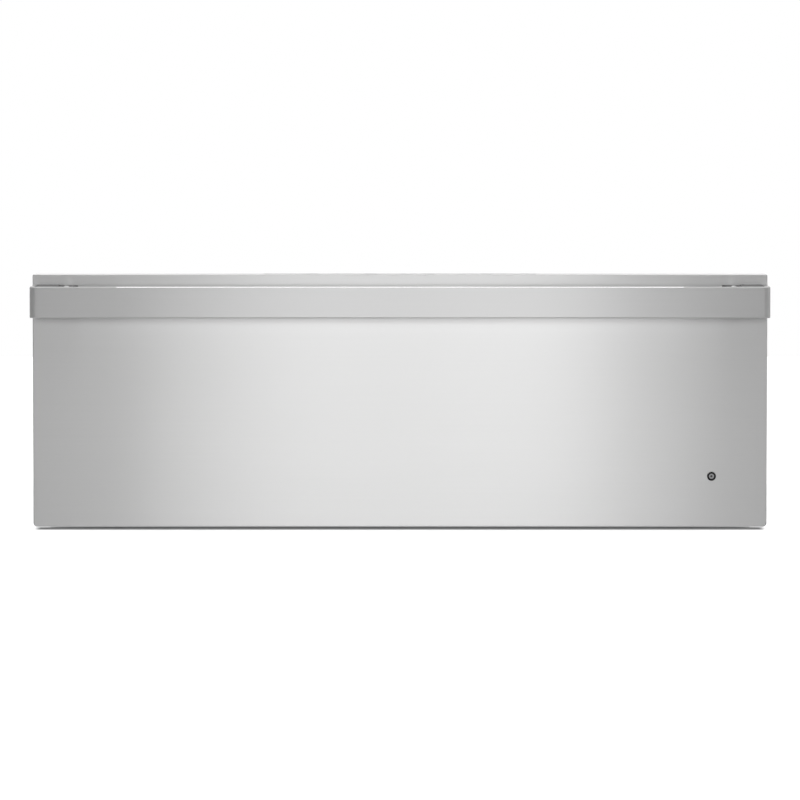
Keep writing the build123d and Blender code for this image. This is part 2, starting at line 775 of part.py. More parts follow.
for side, hand in sides:
    with BuildPart() as middle_slide:
        channel(side, middle_web, middle_lip, middle_half, middle_sheet, slide_length)
    middle_slide.part.label = f"middle_slide_{hand}"
    export_step(middle_slide.part, f"parts/middle_slide_{hand}.step")

    with BuildPart() as outer_cage:
        ball_cage(side, outer_cage_web, outer_ball, outer_row)
    outer_cage.part.label = f"outer_ball_cage_{hand}"
    export_step(outer_cage.part, f"parts/outer_ball_cage_{hand}.step")

    with BuildPart() as inner_cage:
        ball_cage(side, inner_cage_web, inner_ball, inner_row)
    inner_cage.part.label = f"inner_ball_cage_{hand}"
    export_step(inner_cage.part, f"parts/inner_ball_cage_{hand}.step")

    with BuildPart() as release_lever:
        with BuildSketch(Plane.YZ.offset(side * (cavity_half - lever_inner))):
            with Locations((lever_y, slide_z)):
                Circle(lever_eye)
            with Locations((lever_y - lever_reach, slide_z)):
                Circle(lever_tab)
            with Locations((lever_y + (lever_tail - lever_reach) / 2, slide_z)):
                Rectangle(lever_reach + lever_tail, lever_height)
            with Locations((lever_y, slide_z)):
                Circle(lever_pin_radius + lever_pin_play, mode=Mode.SUBTRACT)
        extrude(amount=side * lever_thickness)
    release_lever.part.label = f"release_lever_{hand}"
    export_step(release_lever.part, f"parts/release_lever_{hand}.step")

# ---- drawer carriage ----------------------------------------------------------------------------

# rails: web beside the inner slide, ledge under the pan rim, front flange on the drawer front
with BuildPart() as drawer_rails:
    for side, hand in sides:
        web = sorted((side * rail_half, side * (rail_half - rail_sheet)))
        ledge = sorted((side * (rail_half - rail_sheet), side * (pan_half + pan_play)))
        flange = sorted((side * rail_half, side * (rail_half - rail_front_flange)))
        slab(web, (front_back_y, slide_back_y), (rail_low_z, rim_z))
        slab(ledge, (front_back_y, slide_back_y - rail_sheet), (rim_z - rail_sheet, rim_z))
        slab(flange, (front_back_y, front_back_y + rail_sheet), (rail_low_z, rim_z))
        for z in rail_screw_z:
            hole = rail_screw_radius + screw_play
            rod(side * rail_screw_x, z, front_back_y, front_back_y + rail_sheet, hole, Mode.SUBTRACT)
drawer_rails.part.label = "drawer_rails"
export_step(drawer_rails.part, "parts/drawer_rails.step")

with BuildPart() as rear_crossbar:
    bar_half = rail_half - rail_sheet
    ledge_y = slide_back_y - rail_sheet - (rim_width - 2 * pan_play)
    slab((-bar_half, bar_half), (slide_back_y - rail_sheet, slide_back_y), (rail_low_z, rim_z))
    slab((-pan_half, pan_half), (ledge_y, slide_back_y), (rim_z - rail_sheet, rim_z))
rear_crossbar.part.label = "rear_crossbar"
export_step(rear_crossbar.part, "parts/rear_crossbar.step")

with BuildPart() as rail_screws:
    for side, hand in sides:
        for z in rail_screw_z:
            reach = rail_sheet + front_backing + rail_screw_bite
            screw(side * rail_screw_x, front_back_y + rail_sheet, z, rail_screw_radius, reach)
rail_screws.part.label = "rail_screws"
export_step(rail_screws.part, "parts/rail_screws.step")

# deep-drawn pan hanging by its rim
with BuildPart() as drawer_pan:
    add(pan_body(0))
    with BuildSketch(Plane.XY.offset(rim_z)):
        with Locations((0, rim_middle_y)):
            RectangleRounded(2 * rim_half, rim_length, pan_corner + rim_width)
            mouth = (2 * (pan_half - pan_sheet), pan_length - 2 * pan_sheet, pan_corner - pan_sheet)
            RectangleRounded(*mouth, mode=Mode.SUBTRACT)
    extrude(amount=pan_sheet)
    add(pan_body(pan_sheet), mode=Mode.SUBTRACT)
drawer_pan.part.label = "drawer_pan"
export_step(drawer_pan.part, "parts/drawer_pan.step")

# wire rack: ring, cross wires on top of it, and four feet on the pan floor
with BuildPart() as pan_rack:
    ring_x = rack_half - rack_ring_radius
    ring_y = rack_length / 2 - rack_ring_radius
    with BuildLine(Plane.XY.offset(rack_z)) as ring:
        FilletPolyline(
            (-ring_x, rim_middle_y - ring_y),
            (ring_x, rim_middle_y - ring_y),
            (ring_x, rim_middle_y + ring_y),
            (-ring_x, rim_middle_y + ring_y),
            radius=rack_corner,
            close=True,
        )
    with BuildSketch(Plane(origin=ring.line @ 0, z_dir=ring.line % 0)):
        Circle(rack_ring_radius)
    sweep()
    wire_z = rack_z + rack_ring_radius + rack_wire_radius - rack_weld
    wires = int(2 * (ring_x - rack_corner) // rack_wire_pitch) + 1
    for i in range(wires):
        x = (i - (wires - 1) / 2) * rack_wire_pitch
        wire_y = ring_y + rack_wire_radius / 2
        rod(x, wire_z, rim_middle_y - wire_y, rim_middle_y + wire_y, rack_wire_radius)
    for x in (-ring_x, ring_x):
        for y in (rack_foot_inset - ring_y, ring_y - rack_foot_inset):
            with Locations((x, rim_middle_y + y, (pan_low_z + pan_sheet + rack_z) / 2)):
                Cylinder(rack_foot_radius, rack_height)
pan_rack.part.label = "pan_rack"
export_step(pan_rack.part, "parts/pan_rack.step")

# ---- drawer front -------------------------------------------------------------------------------

with BuildPart() as front_panel:
    with BuildSketch(Plane.XZ.offset(-front_back_y)) as outline:
        with Locations((0, front_middle_z)):
            Rectangle(front_width, front_height)
        fillet(outline.vertices().group_by(Axis.Y)[0], bottom_corner)
        fillet(outline.vertices().group_by(Axis.Y)[-1], top_corner)
    extrude(amount=front_depth)
    fillet(front_panel.faces().sort_by(Axis.Y)[0].edges(), front_bend)
    offset(amount=-front_skin, openings=front_panel.faces().sort_by(Axis.Y)[-1])
    with BuildSketch(Plane.XY.offset(glass_top_z)):
        with Locations((0, bay_middle_y)):
            RectangleRounded(2 * window_half, strip_width - 2 * strip_lip, window_corner)
    extrude(amount=2 * front_skin, mode=Mode.SUBTRACT)
    for side, hand in sides:
        for z in foot_screw_z:
            rod(side * foot_x, z, face_y, plate_y, foot_screw_radius + screw_play, Mode.SUBTRACT)
    rod(indicator_x, indicator_z, face_y, plate_y, barrel_radius + fit_play, Mode.SUBTRACT)
front_panel.part.label = "front_panel"
export_step(front_panel.part, "parts/front_panel.step")

with BuildPart() as front_inner_panel:
    edge = front_skin + backing_play
    with BuildSketch(Plane.XZ.offset(-front_back_y)):
        with Locations((0, front_middle_z)):
            RectangleRounded(front_width - 2 * edge, front_height - 2 * edge, bottom_corner - front_skin)
    extrude(amount=front_backing)
    for side, hand in sides:
        for z in rail_screw_z:
            hole = rail_screw_radius + screw_play
            rod(side * rail_screw_x, z, backing_y, front_back_y, hole, Mode.SUBTRACT)
front_inner_panel.part.label = "front_inner_panel"
export_step(front_inner_panel.part, "parts/front_inner_panel.step")

with BuildPart() as front_insulation:
    slab(
        (batt_margin - front_half, front_half - batt_margin),
        (batt_y, backing_y),
        (front_lift + batt_margin, housing_z - bay_play),
    )
    rod(indicator_x, indicator_z, batt_y, backing_y, bezel_radius + batt_play, Mode.SUBTRACT)
    for side, hand in sides:
        for z in rail_screw_z:
            hole = rail_screw_radius + batt_play
            rod(side * rail_screw_x, z, batt_y, backing_y, hole, Mode.SUBTRACT)
front_insulation.part.label = "front_insulation"
export_step(front_insulation.part, "parts/front_insulation.step")

# ---- handle -------------------------------------------------------------------------------------

# flat strap across the whole front, its ends bent back towards the drawer front
with BuildPart() as handle_bar:
    return_y = face_y - return_gap
    inner_half_length = front_half - strap_thickness
    with BuildSketch(Plane.XY.offset(strap_low_z)):
        with BuildLine():
            FilletPolyline(
                (-front_half, return_y),
                (-front_half, strap_y),
                (front_half, strap_y),
                (front_half, return_y),
                (inner_half_length, return_y),
                (inner_half_length, strap_back_y),
                (-inner_half_length, strap_back_y),
                (-inner_half_length, return_y),
                radius=[0, strap_bend, strap_bend, 0, 0, 2 * strap_edge, 2 * strap_edge, 0],
                close=True,
            )
        make_face()
    extrude(amount=strap_height)
    for flat in (handle_bar.faces().sort_by(Axis.Z)[0], handle_bar.faces().sort_by(Axis.Z)[-1]):
        fillet(flat.edges(), strap_edge)
    for side, hand in sides:
        for x in strap_screw_x:
            hole = strap_screw_radius + screw_play
            hole_end_y = strap_back_y - strap_screw_bite - screw_play
            rod(side * x, strap_middle_z, hole_end_y, strap_back_y, hole, Mode.SUBTRACT)
handle_bar.part.label = "handle_bar"
export_step(handle_bar.part, "parts/handle_bar.step")

# feet: one plan outline for the saddle behind the strap, the neck and the pad on the drawer front
for side, hand in sides:
    with BuildPart() as handle_foot:
        pad_y = face_y - pad_thickness
        outline = [
            (neck_in - saddle_tail, strap_back_y, 0),
            (neck_out + saddle_toe, strap_back_y, 0),
            (neck_out + saddle_toe, saddle_y, foot_edge),
            (neck_out, saddle_y, neck_fillet),
            (neck_out, pad_y, pad_fillet),
            (neck_out + pad_spread, pad_y, foot_edge),
            (neck_out + pad_spread, face_y, 0),
            (neck_in - pad_spread, face_y, 0),
            (neck_in - pad_spread, pad_y, foot_edge),
            (neck_in, pad_y, pad_fillet),
            (neck_in, saddle_y, saddle_fillet),
            (neck_in - saddle_tail, saddle_y, foot_edge),
        ]
        with BuildSketch(Plane.XY.offset(strap_low_z + foot_relief)):
            with BuildLine():
                FilletPolyline(
                    *[(side * x, y) for x, y, corner in outline],
                    radius=[corner for x, y, corner in outline],
                    close=True,
                )
            make_face()
        extrude(amount=strap_height - 2 * foot_relief)
        for z in foot_screw_z:
            hole = foot_screw_radius + screw_play
            hole_end_y = face_y - foot_screw_bite - screw_play
            rod(side * foot_x, z, hole_end_y, face_y, hole, Mode.SUBTRACT)
        for x in strap_screw_x:
            hole = strap_screw_radius + screw_play
            rod(side * x, strap_middle_z, strap_back_y, saddle_y, hole, Mode.SUBTRACT)
    handle_foot.part.label = f"handle_foot_{hand}"
    export_step(handle_foot.part, f"parts/handle_foot_{hand}.step")

with BuildPart() as handle_backing_plates:
    for side, hand in sides:
        slab(
            (side * foot_x - plate_width / 2, side * foot_x + plate_width / 2),
            (plate_y, plate_y + plate_thickness),
            (strap_low_z + foot_relief, strap_top_z - foot_relief),
        )
        for z in foot_screw_z:
            hole = foot_screw_radius + screw_play
            rod(side * foot_x, z, plate_y, plate_y + plate_thickness, hole, Mode.SUBTRACT)
handle_backing_plates.part.label = "handle_backing_plates"
export_step(handle_backing_plates.part, "parts/handle_backing_plates.step")

# two screws from inside the front into each foot, two from each saddle into the strap
with BuildPart() as handle_screws:
    for side, hand in sides:
        for z in foot_screw_z:
            reach = plate_thickness + front_skin + foot_screw_bite
            screw(side * foot_x, plate_y + plate_thickness, z, foot_screw_radius, reach)
        for x in strap_screw_x:
            reach = saddle_thickness + strap_screw_bite
            screw(side * x, saddle_y, strap_middle_z, strap_screw_radius, reach)
handle_screws.part.label = "handle_screws"
export_step(handle_screws.part, "parts/handle_screws.step")

# ---- indicator light ----------------------------------------------------------------------------

with BuildPart() as indicator_bezel:
    rod(indicator_x, indicator_z, face_y - bezel_proud, face_y, bezel_radius)
    fillet(indicator_bezel.edges().sort_by(Axis.Y)[0], bezel_proud / 2)
    rod(indicator_x, indicator_z, face_y, face_y + barrel_depth, barrel_radius)
    rod(indicator_x, indicator_z, plate_y, plate_y + bezel_proud, bezel_radius)
    bore = lens_radius + fit_play
    rod(indicator_x, indicator_z, face_y - bezel_proud, face_y + barrel_depth, bore, Mode.SUBTRACT)
indicator_bezel.part.label = "indicator_bezel"
export_step(indicator_bezel.part, "parts/indicator_bezel.step")

with BuildPart() as indicator_lens:
    lens_front_y = face_y - bezel_proud / 2
    rod(indicator_x, indicator_z, lens_front_y, face_y + lens_depth, lens_radius)
    fillet(indicator_lens.edges().sort_by(Axis.Y)[0], bezel_proud / 2)
    hole = lamp_tip_radius + fit_play
    rod(indicator_x, indicator_z, lens_front_y, face_y + lens_depth, hole, Mode.SUBTRACT)
indicator_lens.part.label = "indicator_lens"
export_step(indicator_lens.part, "parts/indicator_lens.step")

with BuildPart() as indicator_lamp:
    lamp_y = face_y + lens_depth
    rod(indicator_x, indicator_z, lens_front_y, lamp_y, lamp_tip_radius)
    rod(indicator_x, indicator_z, lamp_y, lamp_y + lamp_length, lamp_radius)
indicator_lamp.part.label = "indicator_lamp"
export_step(indicator_lamp.part, "parts/indicator_lamp.step")

# ---- control strip ------------------------------------------------------------------------------

strip_y = (bay_middle_y - strip_width / 2, bay_middle_y + strip_width / 2)
with BuildPart() as control_fascia:
    slab((-strip_half, strip_half), strip_y, (glass_low_z, glass_top_z))
    with BuildSketch(Plane.XY.offset(glass_low_z)):
        with Locations(*[(x, bay_middle_y) for x in key_x]):
            RectangleRounded(key_length + 2 * key_play, key_width + 2 * key_play, key_corner)
        with Locations(*[(x + pipe_offset, bay_middle_y) for x in key_x]):
            Circle(pipe_radius + fit_play)
    extrude(amount=glass_thickness, mode=Mode.SUBTRACT)
control_fascia.part.label = "control_fascia"
export_step(control_fascia.part, "parts/control_fascia.step")

with BuildPart() as control_housing:
    inner_y = (strip_y[0] + housing_wall, strip_y[1] - housing_wall)
    inner_x = strip_half - housing_wall
    slab((-strip_half, strip_half), strip_y, (housing_z, glass_low_z))
    slab((-inner_x, inner_x), inner_y, (housing_z + housing_wall, glass_low_z), Mode.SUBTRACT)
    with Locations(*[(x - boss_offset, bay_middle_y, board_z - boss_height / 2) for x in key_x]):
        Cylinder(boss_radius, boss_height)
control_housing.part.label = "control_housing"
export_step(control_housing.part, "parts/control_housing.step")

# narrow board with one push switch under every key
with BuildPart() as key_board:
    slab(
        (bay_play - inner_x, inner_x - bay_play),
        (inner_y[0] + bay_play, inner_y[1] - bay_play),
        (board_z, board_top_z),
    )
    with Locations(*[(x, bay_middle_y, board_top_z + switch_height / 2) for x in key_x]):
        Box(switch_size, switch_size, switch_height)
    with Locations(*[(x, bay_middle_y, plunger_z - plunger_height / 2) for x in key_x]):
        Cylinder(plunger_radius, plunger_height)
key_board.part.label = "key_board"
export_step(key_board.part, "parts/key_board.step")

with BuildPart() as status_lights:
    with Locations(*[(x + pipe_offset, bay_middle_y, (board_top_z + glass_top_z) / 2) for x in key_x]):
        Cylinder(pipe_radius, glass_top_z - board_top_z)
status_lights.part.label = "status_lights"
export_step(status_lights.part, "parts/status_lights.step")

# keys: rounded cap through the glass, flange that holds it under the glass, stem above its switch
for i, x in enumerate(key_x):
    with BuildPart() as key:
        flange_top_z = glass_low_z - fit_play
        stem_low_z = plunger_z + key_travel + key_stop
        with BuildSketch(Plane.XY.offset(flange_top_z)):
            with Locations((x, bay_middle_y)):
                RectangleRounded(key_length, key_width, key_corner)
        extrude(amount=front_top_z - flange_top_z)
        fillet(key.faces().sort_by(Axis.Z)[-1].edges(), key_edge)
        slab(
            (x - key_length / 2 - key_flange, x + key_length / 2 + key_flange),
            (bay_middle_y - key_width / 2 - key_flange, bay_middle_y + key_width / 2 + key_flange),
            (flange_top_z - key_flange, flange_top_z),
        )
        with Locations((x, bay_middle_y, (stem_low_z + flange_top_z) / 2)):
            Cylinder(plunger_radius, flange_top_z - stem_low_z)
    key.part.label = f"key_{i + 1}"
    export_step(key.part, f"parts/key_{i + 1}.step")
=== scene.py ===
import json
from math import cos, pi, radians, sin, tan

import bpy
import numpy as np
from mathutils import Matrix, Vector


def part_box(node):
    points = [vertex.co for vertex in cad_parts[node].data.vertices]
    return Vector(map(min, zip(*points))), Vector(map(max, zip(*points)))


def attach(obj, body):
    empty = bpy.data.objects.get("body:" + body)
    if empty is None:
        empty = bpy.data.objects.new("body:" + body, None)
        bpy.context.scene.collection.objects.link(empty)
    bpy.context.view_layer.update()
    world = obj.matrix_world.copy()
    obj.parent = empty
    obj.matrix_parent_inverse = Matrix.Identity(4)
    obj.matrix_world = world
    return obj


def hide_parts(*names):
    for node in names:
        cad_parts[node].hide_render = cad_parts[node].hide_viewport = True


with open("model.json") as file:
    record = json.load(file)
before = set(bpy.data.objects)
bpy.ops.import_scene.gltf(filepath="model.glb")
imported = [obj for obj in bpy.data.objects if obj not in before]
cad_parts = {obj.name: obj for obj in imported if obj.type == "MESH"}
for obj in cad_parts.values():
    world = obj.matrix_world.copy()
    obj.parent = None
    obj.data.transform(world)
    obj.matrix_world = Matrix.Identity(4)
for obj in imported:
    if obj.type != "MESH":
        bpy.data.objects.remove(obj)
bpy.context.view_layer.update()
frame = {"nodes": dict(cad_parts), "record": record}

# Looks of a built-in warming drawer: brushed stainless front with a strap handle, ball slides, a
# drawn pan with its wire rack, and an insulated steel casing. Shapes are worked out in millimetres
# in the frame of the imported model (X right, Y back, Z up) and become metres when a mesh is made.
# Finishes are worked out in metres, on object coordinates.

MM = 0.001


# ---- shader maths ------------------------------------------------------------------------------

class Wire:
    """An output socket in a finish. An operator on wires, or on a wire and a number, adds a Math
    node."""

    def __init__(self, finish, socket):
        self.finish = finish
        self.socket = socket

    def math(self, operation, *values):
        settings = {"operation": operation}
        return self.finish.node("ShaderNodeMath", settings, dict(enumerate(values)))

    def __add__(self, other):
        return self.math("ADD", self, other)

    def __radd__(self, other):
        return self.math("ADD", other, self)

    def __sub__(self, other):
        return self.math("SUBTRACT", self, other)

    def __rsub__(self, other):
        return self.math("SUBTRACT", other, self)

    def __mul__(self, other):
        return self.math("MULTIPLY", self, other)

    def __rmul__(self, other):
        return self.math("MULTIPLY", other, self)

    def __truediv__(self, other):
        return self.math("DIVIDE", self, other)

    def __pow__(self, other):
        return self.math("POWER", self, other)

    def __abs__(self):
        return self.math("ABSOLUTE", self)

    def __lt__(self, other):
        return self.math("LESS_THAN", self, other)

    def __gt__(self, other):
        return self.math("GREATER_THAN", self, other)

    def least(self, other):
        return self.math("MINIMUM", self, other)

    def most(self, other):
        return self.math("MAXIMUM", self, other)

    def sine(self):
        return self.math("SINE", self)

    def ramp(self, low, high):
        """0 below low, 1 above high, a straight line between."""
        return ((self - low) / (high - low)).most(0.0).least(1.0)


class Finish:
    """A material being made: node() adds any node, surface() closes it with a Principled shader."""

    def __init__(self, name):
        self.material = bpy.data.materials.new(name)
        self.material.use_nodes = True
        self.tree = self.material.node_tree
        self.tree.nodes.clear()

    def node(self, kind, settings=None, sockets=None, output=0):
        """One node: its settings are set first, then its sockets get values or wires. Gives the
        wire of one of its outputs."""
        made = self.tree.nodes.new(kind)
        for key, value in (settings or {}).items():
            if key == "stops":
                stops = made.color_ramp.elements
                while len(stops) < len(value):
                    stops.new(0.5)
                for stop, (position, colour) in zip(stops, value):
                    stop.position = position
                    stop.color = (*colour, 1.0)
            else:
                setattr(made, key, value)
        for key, value in (sockets or {}).items():
            if isinstance(value, Wire):
                self.tree.links.new(value.socket, made.inputs[key])
            else:
                made.inputs[key].default_value = value
        return Wire(self, made.outputs[output])

    def place(self):
        """Object coordinates, in metres."""
        return self.node("ShaderNodeTexCoord", output=3)

    def axes(self):
        """The three object coordinates as numbers."""
        split = self.node("ShaderNodeSeparateXYZ", sockets={0: self.place()}).socket.node
        return [Wire(self, split.outputs[axis]) for axis in range(3)]

    def noise(self, scale, detail=3.0, roughness=0.5):
        """Fractal noise from 0 to 1; scale is one number, or three to draw it out along an axis."""
        vector = self.place()
        if not isinstance(scale, (int, float)):
            drawn_out = {"Vector": vector, "Scale": scale}
            vector, scale = self.node("ShaderNodeMapping", {"vector_type": "POINT"}, drawn_out), 1.0
        sockets = {"Vector": vector, "Scale": scale, "Detail": detail, "Roughness": roughness}
        return self.node("ShaderNodeTexNoise", sockets=sockets)

    def cells(self, scale, feature="F1", output=0, vector=None):
        """Voronoi cells: distance to the nearest point, or its random colour with output 1."""
        sockets = {"Vector": self.place() if vector is None else vector, "Scale": scale}
        return self.node("ShaderNodeTexVoronoi", {"feature": feature}, sockets, output)

    def mix(self, share, first, second):
        """Colour between two, by a share from 0 to 1."""
        sockets = {0: share, 6: rgba(first), 7: rgba(second)}
        return self.node("ShaderNodeMix", {"data_type": "RGBA"}, sockets, 2)

    def surface(self, colour, roughness, metallic=0.0, height=None, strength=0.2, depth=0.0001,
                **others):
        """Closes the finish. Values that vary feed colour, roughness, metallic, bump or emission
        colour only. The others are sockets by their names, in small letters with underscores."""
        values = {"Base Color": rgba(colour), "Roughness": roughness, "Metallic": metallic}
        for name, value in others.items():
            values[name.replace("_", " ").title().replace("Ior", "IOR")] = value
        if height is not None:
            bump = {"Height": height, "Strength": strength, "Distance": depth}
            values["Normal"] = self.node("ShaderNodeBump", sockets=bump)
        return self.close(self.node("ShaderNodeBsdfPrincipled", sockets=values))

    def close(self, shader):
        """Sends the shader to the material's output."""
        out = self.tree.nodes.new("ShaderNodeOutputMaterial")
        self.tree.links.new(shader.socket, out.inputs[0])
        return self.material


def rgba(colour):
    """A colour with its alpha, or the wire as it is."""
    return colour if isinstance(colour, Wire) else (*colour, 1.0)


def grey(value):
    """A neutral colour."""
    return (value, value, value)


# ---- finishes ----------------------------------------------------------------------------------

# noise scales that draw the brush marks out along X or along Y
grain_across = (7.0, 2400.0, 2400.0)
grain_back = (2400.0, 7.0, 2400.0)
brush_lift = {"strength": 0.025, "depth": 0.00002}
brush_sheen = {"anisotropic": 0.97, "anisotropic_rotation": 0.25}


def brush_marks(f, colour, grain, lines):
    """Two noises drawn out along the grain. Gives the fine one, for the height, and the colour with
    streaks of both in it, as strong as lines says."""
    fine = f.noise(grain, detail=2.0)
    broad = f.noise(tuple(scale * 0.22 for scale in grain), detail=3.0)
    streak = (fine - 0.5) * 0.8 + (broad - 0.5) * 0.4
    sockets = {0: colour, "Scale": streak * lines + 1.0}
    return fine, f.node("ShaderNodeVectorMath", {"operation": "SCALE"}, sockets)


def brushed(name, colour, roughness, grain, lines, **constants):
    """Brushed sheet: streaks along the grain tint the steel and lift it, and a slow noise dulls
    it."""
    f = Finish(name)
    fine, shade = brush_marks(f, colour, grain, lines)
    haze = (f.noise(1.7, detail=0.0) - 0.5) * 0.02
    return f.surface(shade, haze + roughness, 1.0, height=fine, **brush_lift, **constants)


def galvanised():
    """Zinc-coated sheet: spangle cells of slightly different grey, each with its own gloss, under
    light handling marks."""
    f = Finish("galvanised sheet")
    spangle = f.node("ShaderNodeSeparateColor", sockets={0: f.cells(95.0, output=1)})
    smear = f.noise((14.0, 14.0, 40.0), detail=4.0)
    tint = spangle * 0.35 + smear * 0.5
    colour = f.mix(tint.ramp(0.1, 0.75), (0.42, 0.44, 0.46), (0.62, 0.64, 0.66))
    roughness = spangle * 0.12 + smear * 0.1 + 0.28
    return f.surface(colour, roughness, 0.9, height=smear, strength=0.05, depth=0.0004)


def satin(name, dark, light, roughness, scale):
    """Formed metal with a dull sheen: cloudy noise between two tones, and a fine tooth in the
    gloss."""
    f = Finish(name)
    cloud = f.noise(scale, detail=5.0, roughness=0.6)
    tooth = f.noise(1800.0, detail=1.0)
    colour = f.mix(cloud.ramp(0.3, 0.7), dark, light)
    gloss = cloud * 0.14 + tooth * 0.06 + (roughness - 0.1)
    return f.surface(colour, gloss, 1.0, height=tooth, strength=0.06, depth=0.00002)


def polished(name, tone, roughness):
    """Bright metal: even colour with a faint haze of fine marks."""
    f = Finish(name)
    haze = f.noise((60.0, 60.0, 400.0), detail=4.0)
    colour = f.mix(haze, grey(tone * 0.94), grey(tone))
    return f.surface(colour, haze.ramp(0.35, 0.8) * 0.08 + roughness, 1.0)


def moulded(name, dark, light, roughness, texture=900.0, lift=0.00005, **constants):
    """Moulded plastic or rubber: fine spark-eroded texture, a little lighter on its tops."""
    f = Finish(name)
    tooth = f.cells(texture)
    cloud = f.noise(30.0)
    colour = f.mix((tooth * 0.7 + cloud * 0.5).ramp(0.2, 0.9), dark, light)
    gloss = cloud * 0.12 + roughness
    return f.surface(colour, gloss, 0.0, height=tooth, strength=0.25, depth=lift, **constants)


def wool():
    """Mineral wool: long crossing fibres in two directions over soft clumps."""
    f = Finish("mineral wool")
    along = f.noise((260.0, 1500.0, 1500.0), detail=3.0)
    across = f.noise((1500.0, 260.0, 1500.0), detail=3.0)
    clumps = f.noise(45.0, detail=4.0)
    fibre = along.most(across)
    share = (fibre * 0.6 + clumps * 0.5).ramp(0.35, 0.8)
    colour = f.mix(share, (0.36, 0.29, 0.14), (0.72, 0.63, 0.42))
    height = fibre + clumps
    return f.surface(colour, 0.95, height=height, strength=0.6, depth=0.0006, sheen_weight=0.15)


def scorched():
    """Heater sheath: oxidised alloy in bands of heat tint, bluer towards the back of the runs."""
    f = Finish("heater sheath")
    y = f.axes()[1]
    band = f.noise((12.0, 12.0, 12.0), detail=3.0)
    stops = [(0.0, (0.16, 0.12, 0.1)), (0.45, (0.3, 0.24, 0.2)), (0.7, (0.25, 0.26, 0.32)),
             (1.0, (0.36, 0.33, 0.3))]
    tint = f.node("ShaderNodeValToRGB", {"stops": stops}, {0: band + y * 0.4 + 0.05})
    scale = f.noise(700.0, detail=2.0)
    return f.surface(tint, band * 0.2 + 0.32, 0.9, height=scale, strength=0.2, depth=0.00004)


def power_board():
    """Circuit board: green mask with copper tracks at its face, and each part on it in its own
    colour, by its place from the board's middle."""
    f = Finish("power board")
    x, y, z = f.axes()
    low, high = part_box("control_board")
    middle = (low + high) / 2
    across, up = x - middle.x, z - middle.z
    thickness, raster = 0.0019, 0.002
    board = y < low.y + thickness
    snapped = f.node(
        "ShaderNodeVectorMath", {"operation": "SNAP"}, {0: f.place(), 1: (raster, raster, raster)}
    )
    tracks = f.cells(140.0, feature="DISTANCE_TO_EDGE", vector=snapped)
    mask = (tracks < 0.12) * board
    green = f.mix(mask, (0.012, 0.11, 0.05), (0.03, 0.2, 0.08))
    coil = (abs(across + 0.04) < 0.0215) * (up > 0.002)
    relay = (across > -0.003) * (up > 0.009)
    sink = (across < 0.001) * (up < -0.026)
    socket = (across > 0.022) * (up < -0.023)
    tape = abs(up - 0.02) < 0.011
    parts = f.mix(coil, (0.02, 0.02, 0.025), (0.045, 0.04, 0.035))
    parts = f.mix(coil * tape, parts, (0.62, 0.45, 0.06))
    parts = f.mix(relay, parts, (0.02, 0.06, 0.22))
    parts = f.mix(sink, parts, (0.55, 0.56, 0.57))
    parts = f.mix(socket, parts, (0.75, 0.73, 0.66))
    grain = f.noise(500.0)
    colour, metallic = f.mix(board, parts, green), sink * (1 - board) * 0.9
    return f.surface(colour, grain * 0.15 + 0.3, metallic, height=mask + grain * 0.2, strength=0.2)


def key_gloss(name, bars):
    """Gloss key with a printed sign on its top: a ring with a stroke for the switch, or one to
    three bars for the heat."""
    f = Finish(name)
    low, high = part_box(name)
    middle = (low + high) / 2
    x, y, z = f.axes()
    u, v = x - middle.x, y - middle.y
    if bars:
        pitch = 0.0018
        places = [(i - (bars - 1) / 2) * pitch for i in range(bars)]
        strokes = [(abs(u - place) < 0.0004) * (abs(v) < 0.0011) for place in places]
    else:
        reach = (u * u + v * v) ** 0.5
        hoop = abs(reach - 0.0014) < 0.0002
        gap = (abs(u) < 0.0005) * (v > 0.0)
        strokes = [hoop * (1 - gap), (abs(u) < 0.0002) * (abs(v - 0.001) < 0.001)]
    sign = strokes[0]
    for stroke in strokes[1:]:
        sign = sign.most(stroke)
    sign = sign * (z > high.z - 0.0006)
    wear = f.noise(260.0, detail=3.0)
    black = f.mix(wear, (0.012, 0.012, 0.013), (0.022, 0.022, 0.024))
    colour = f.mix(sign, black, (0.72, 0.74, 0.76))
    return f.surface(colour, wear * 0.12 + 0.16, coat_weight=0.4)


def strip_glass():
    """Back-painted glass: deep black with a clear polished coat, faint wipe marks in the gloss."""
    f = Finish("strip glass")
    wipe = f.noise((30.0, 220.0, 30.0), detail=4.0)
    colour = f.mix(wipe, (0.006, 0.006, 0.008), (0.012, 0.012, 0.015))
    return f.surface(colour, wipe * 0.06 + 0.04, coat_weight=1.0)


def light_pipe():
    """Clear rod with a frosted end, unlit."""
    f = Finish("light pipe")
    frost = f.noise(900.0)
    colour = f.mix(frost, (0.55, 0.56, 0.56), (0.8, 0.81, 0.8))
    return f.surface(colour, frost * 0.2 + 0.25, transmission_weight=0.35)


def lens_smoke():
    """Smoked diffusing lens: rings of fine steps round its middle."""
    f = Finish("smoked lens")
    low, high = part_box("indicator_lens")
    middle = (low + high) / 2
    x, _, z = f.axes()
    reach = ((x - middle.x) ** 2.0 + (z - middle.z) ** 2.0) ** 0.5
    radians_per_metre = 9000.0  # a step each 0.7 mm
    steps = (reach * radians_per_metre).sine() * 0.5 + 0.5
    speck = f.noise(1500.0)
    colour = f.mix(steps * 0.5 + speck * 0.5, (0.2, 0.2, 0.21), (0.36, 0.36, 0.37))
    gloss = speck * 0.15 + 0.22
    return f.surface(colour, gloss, height=steps, strength=0.3, depth=0.00004, coat_weight=0.3)


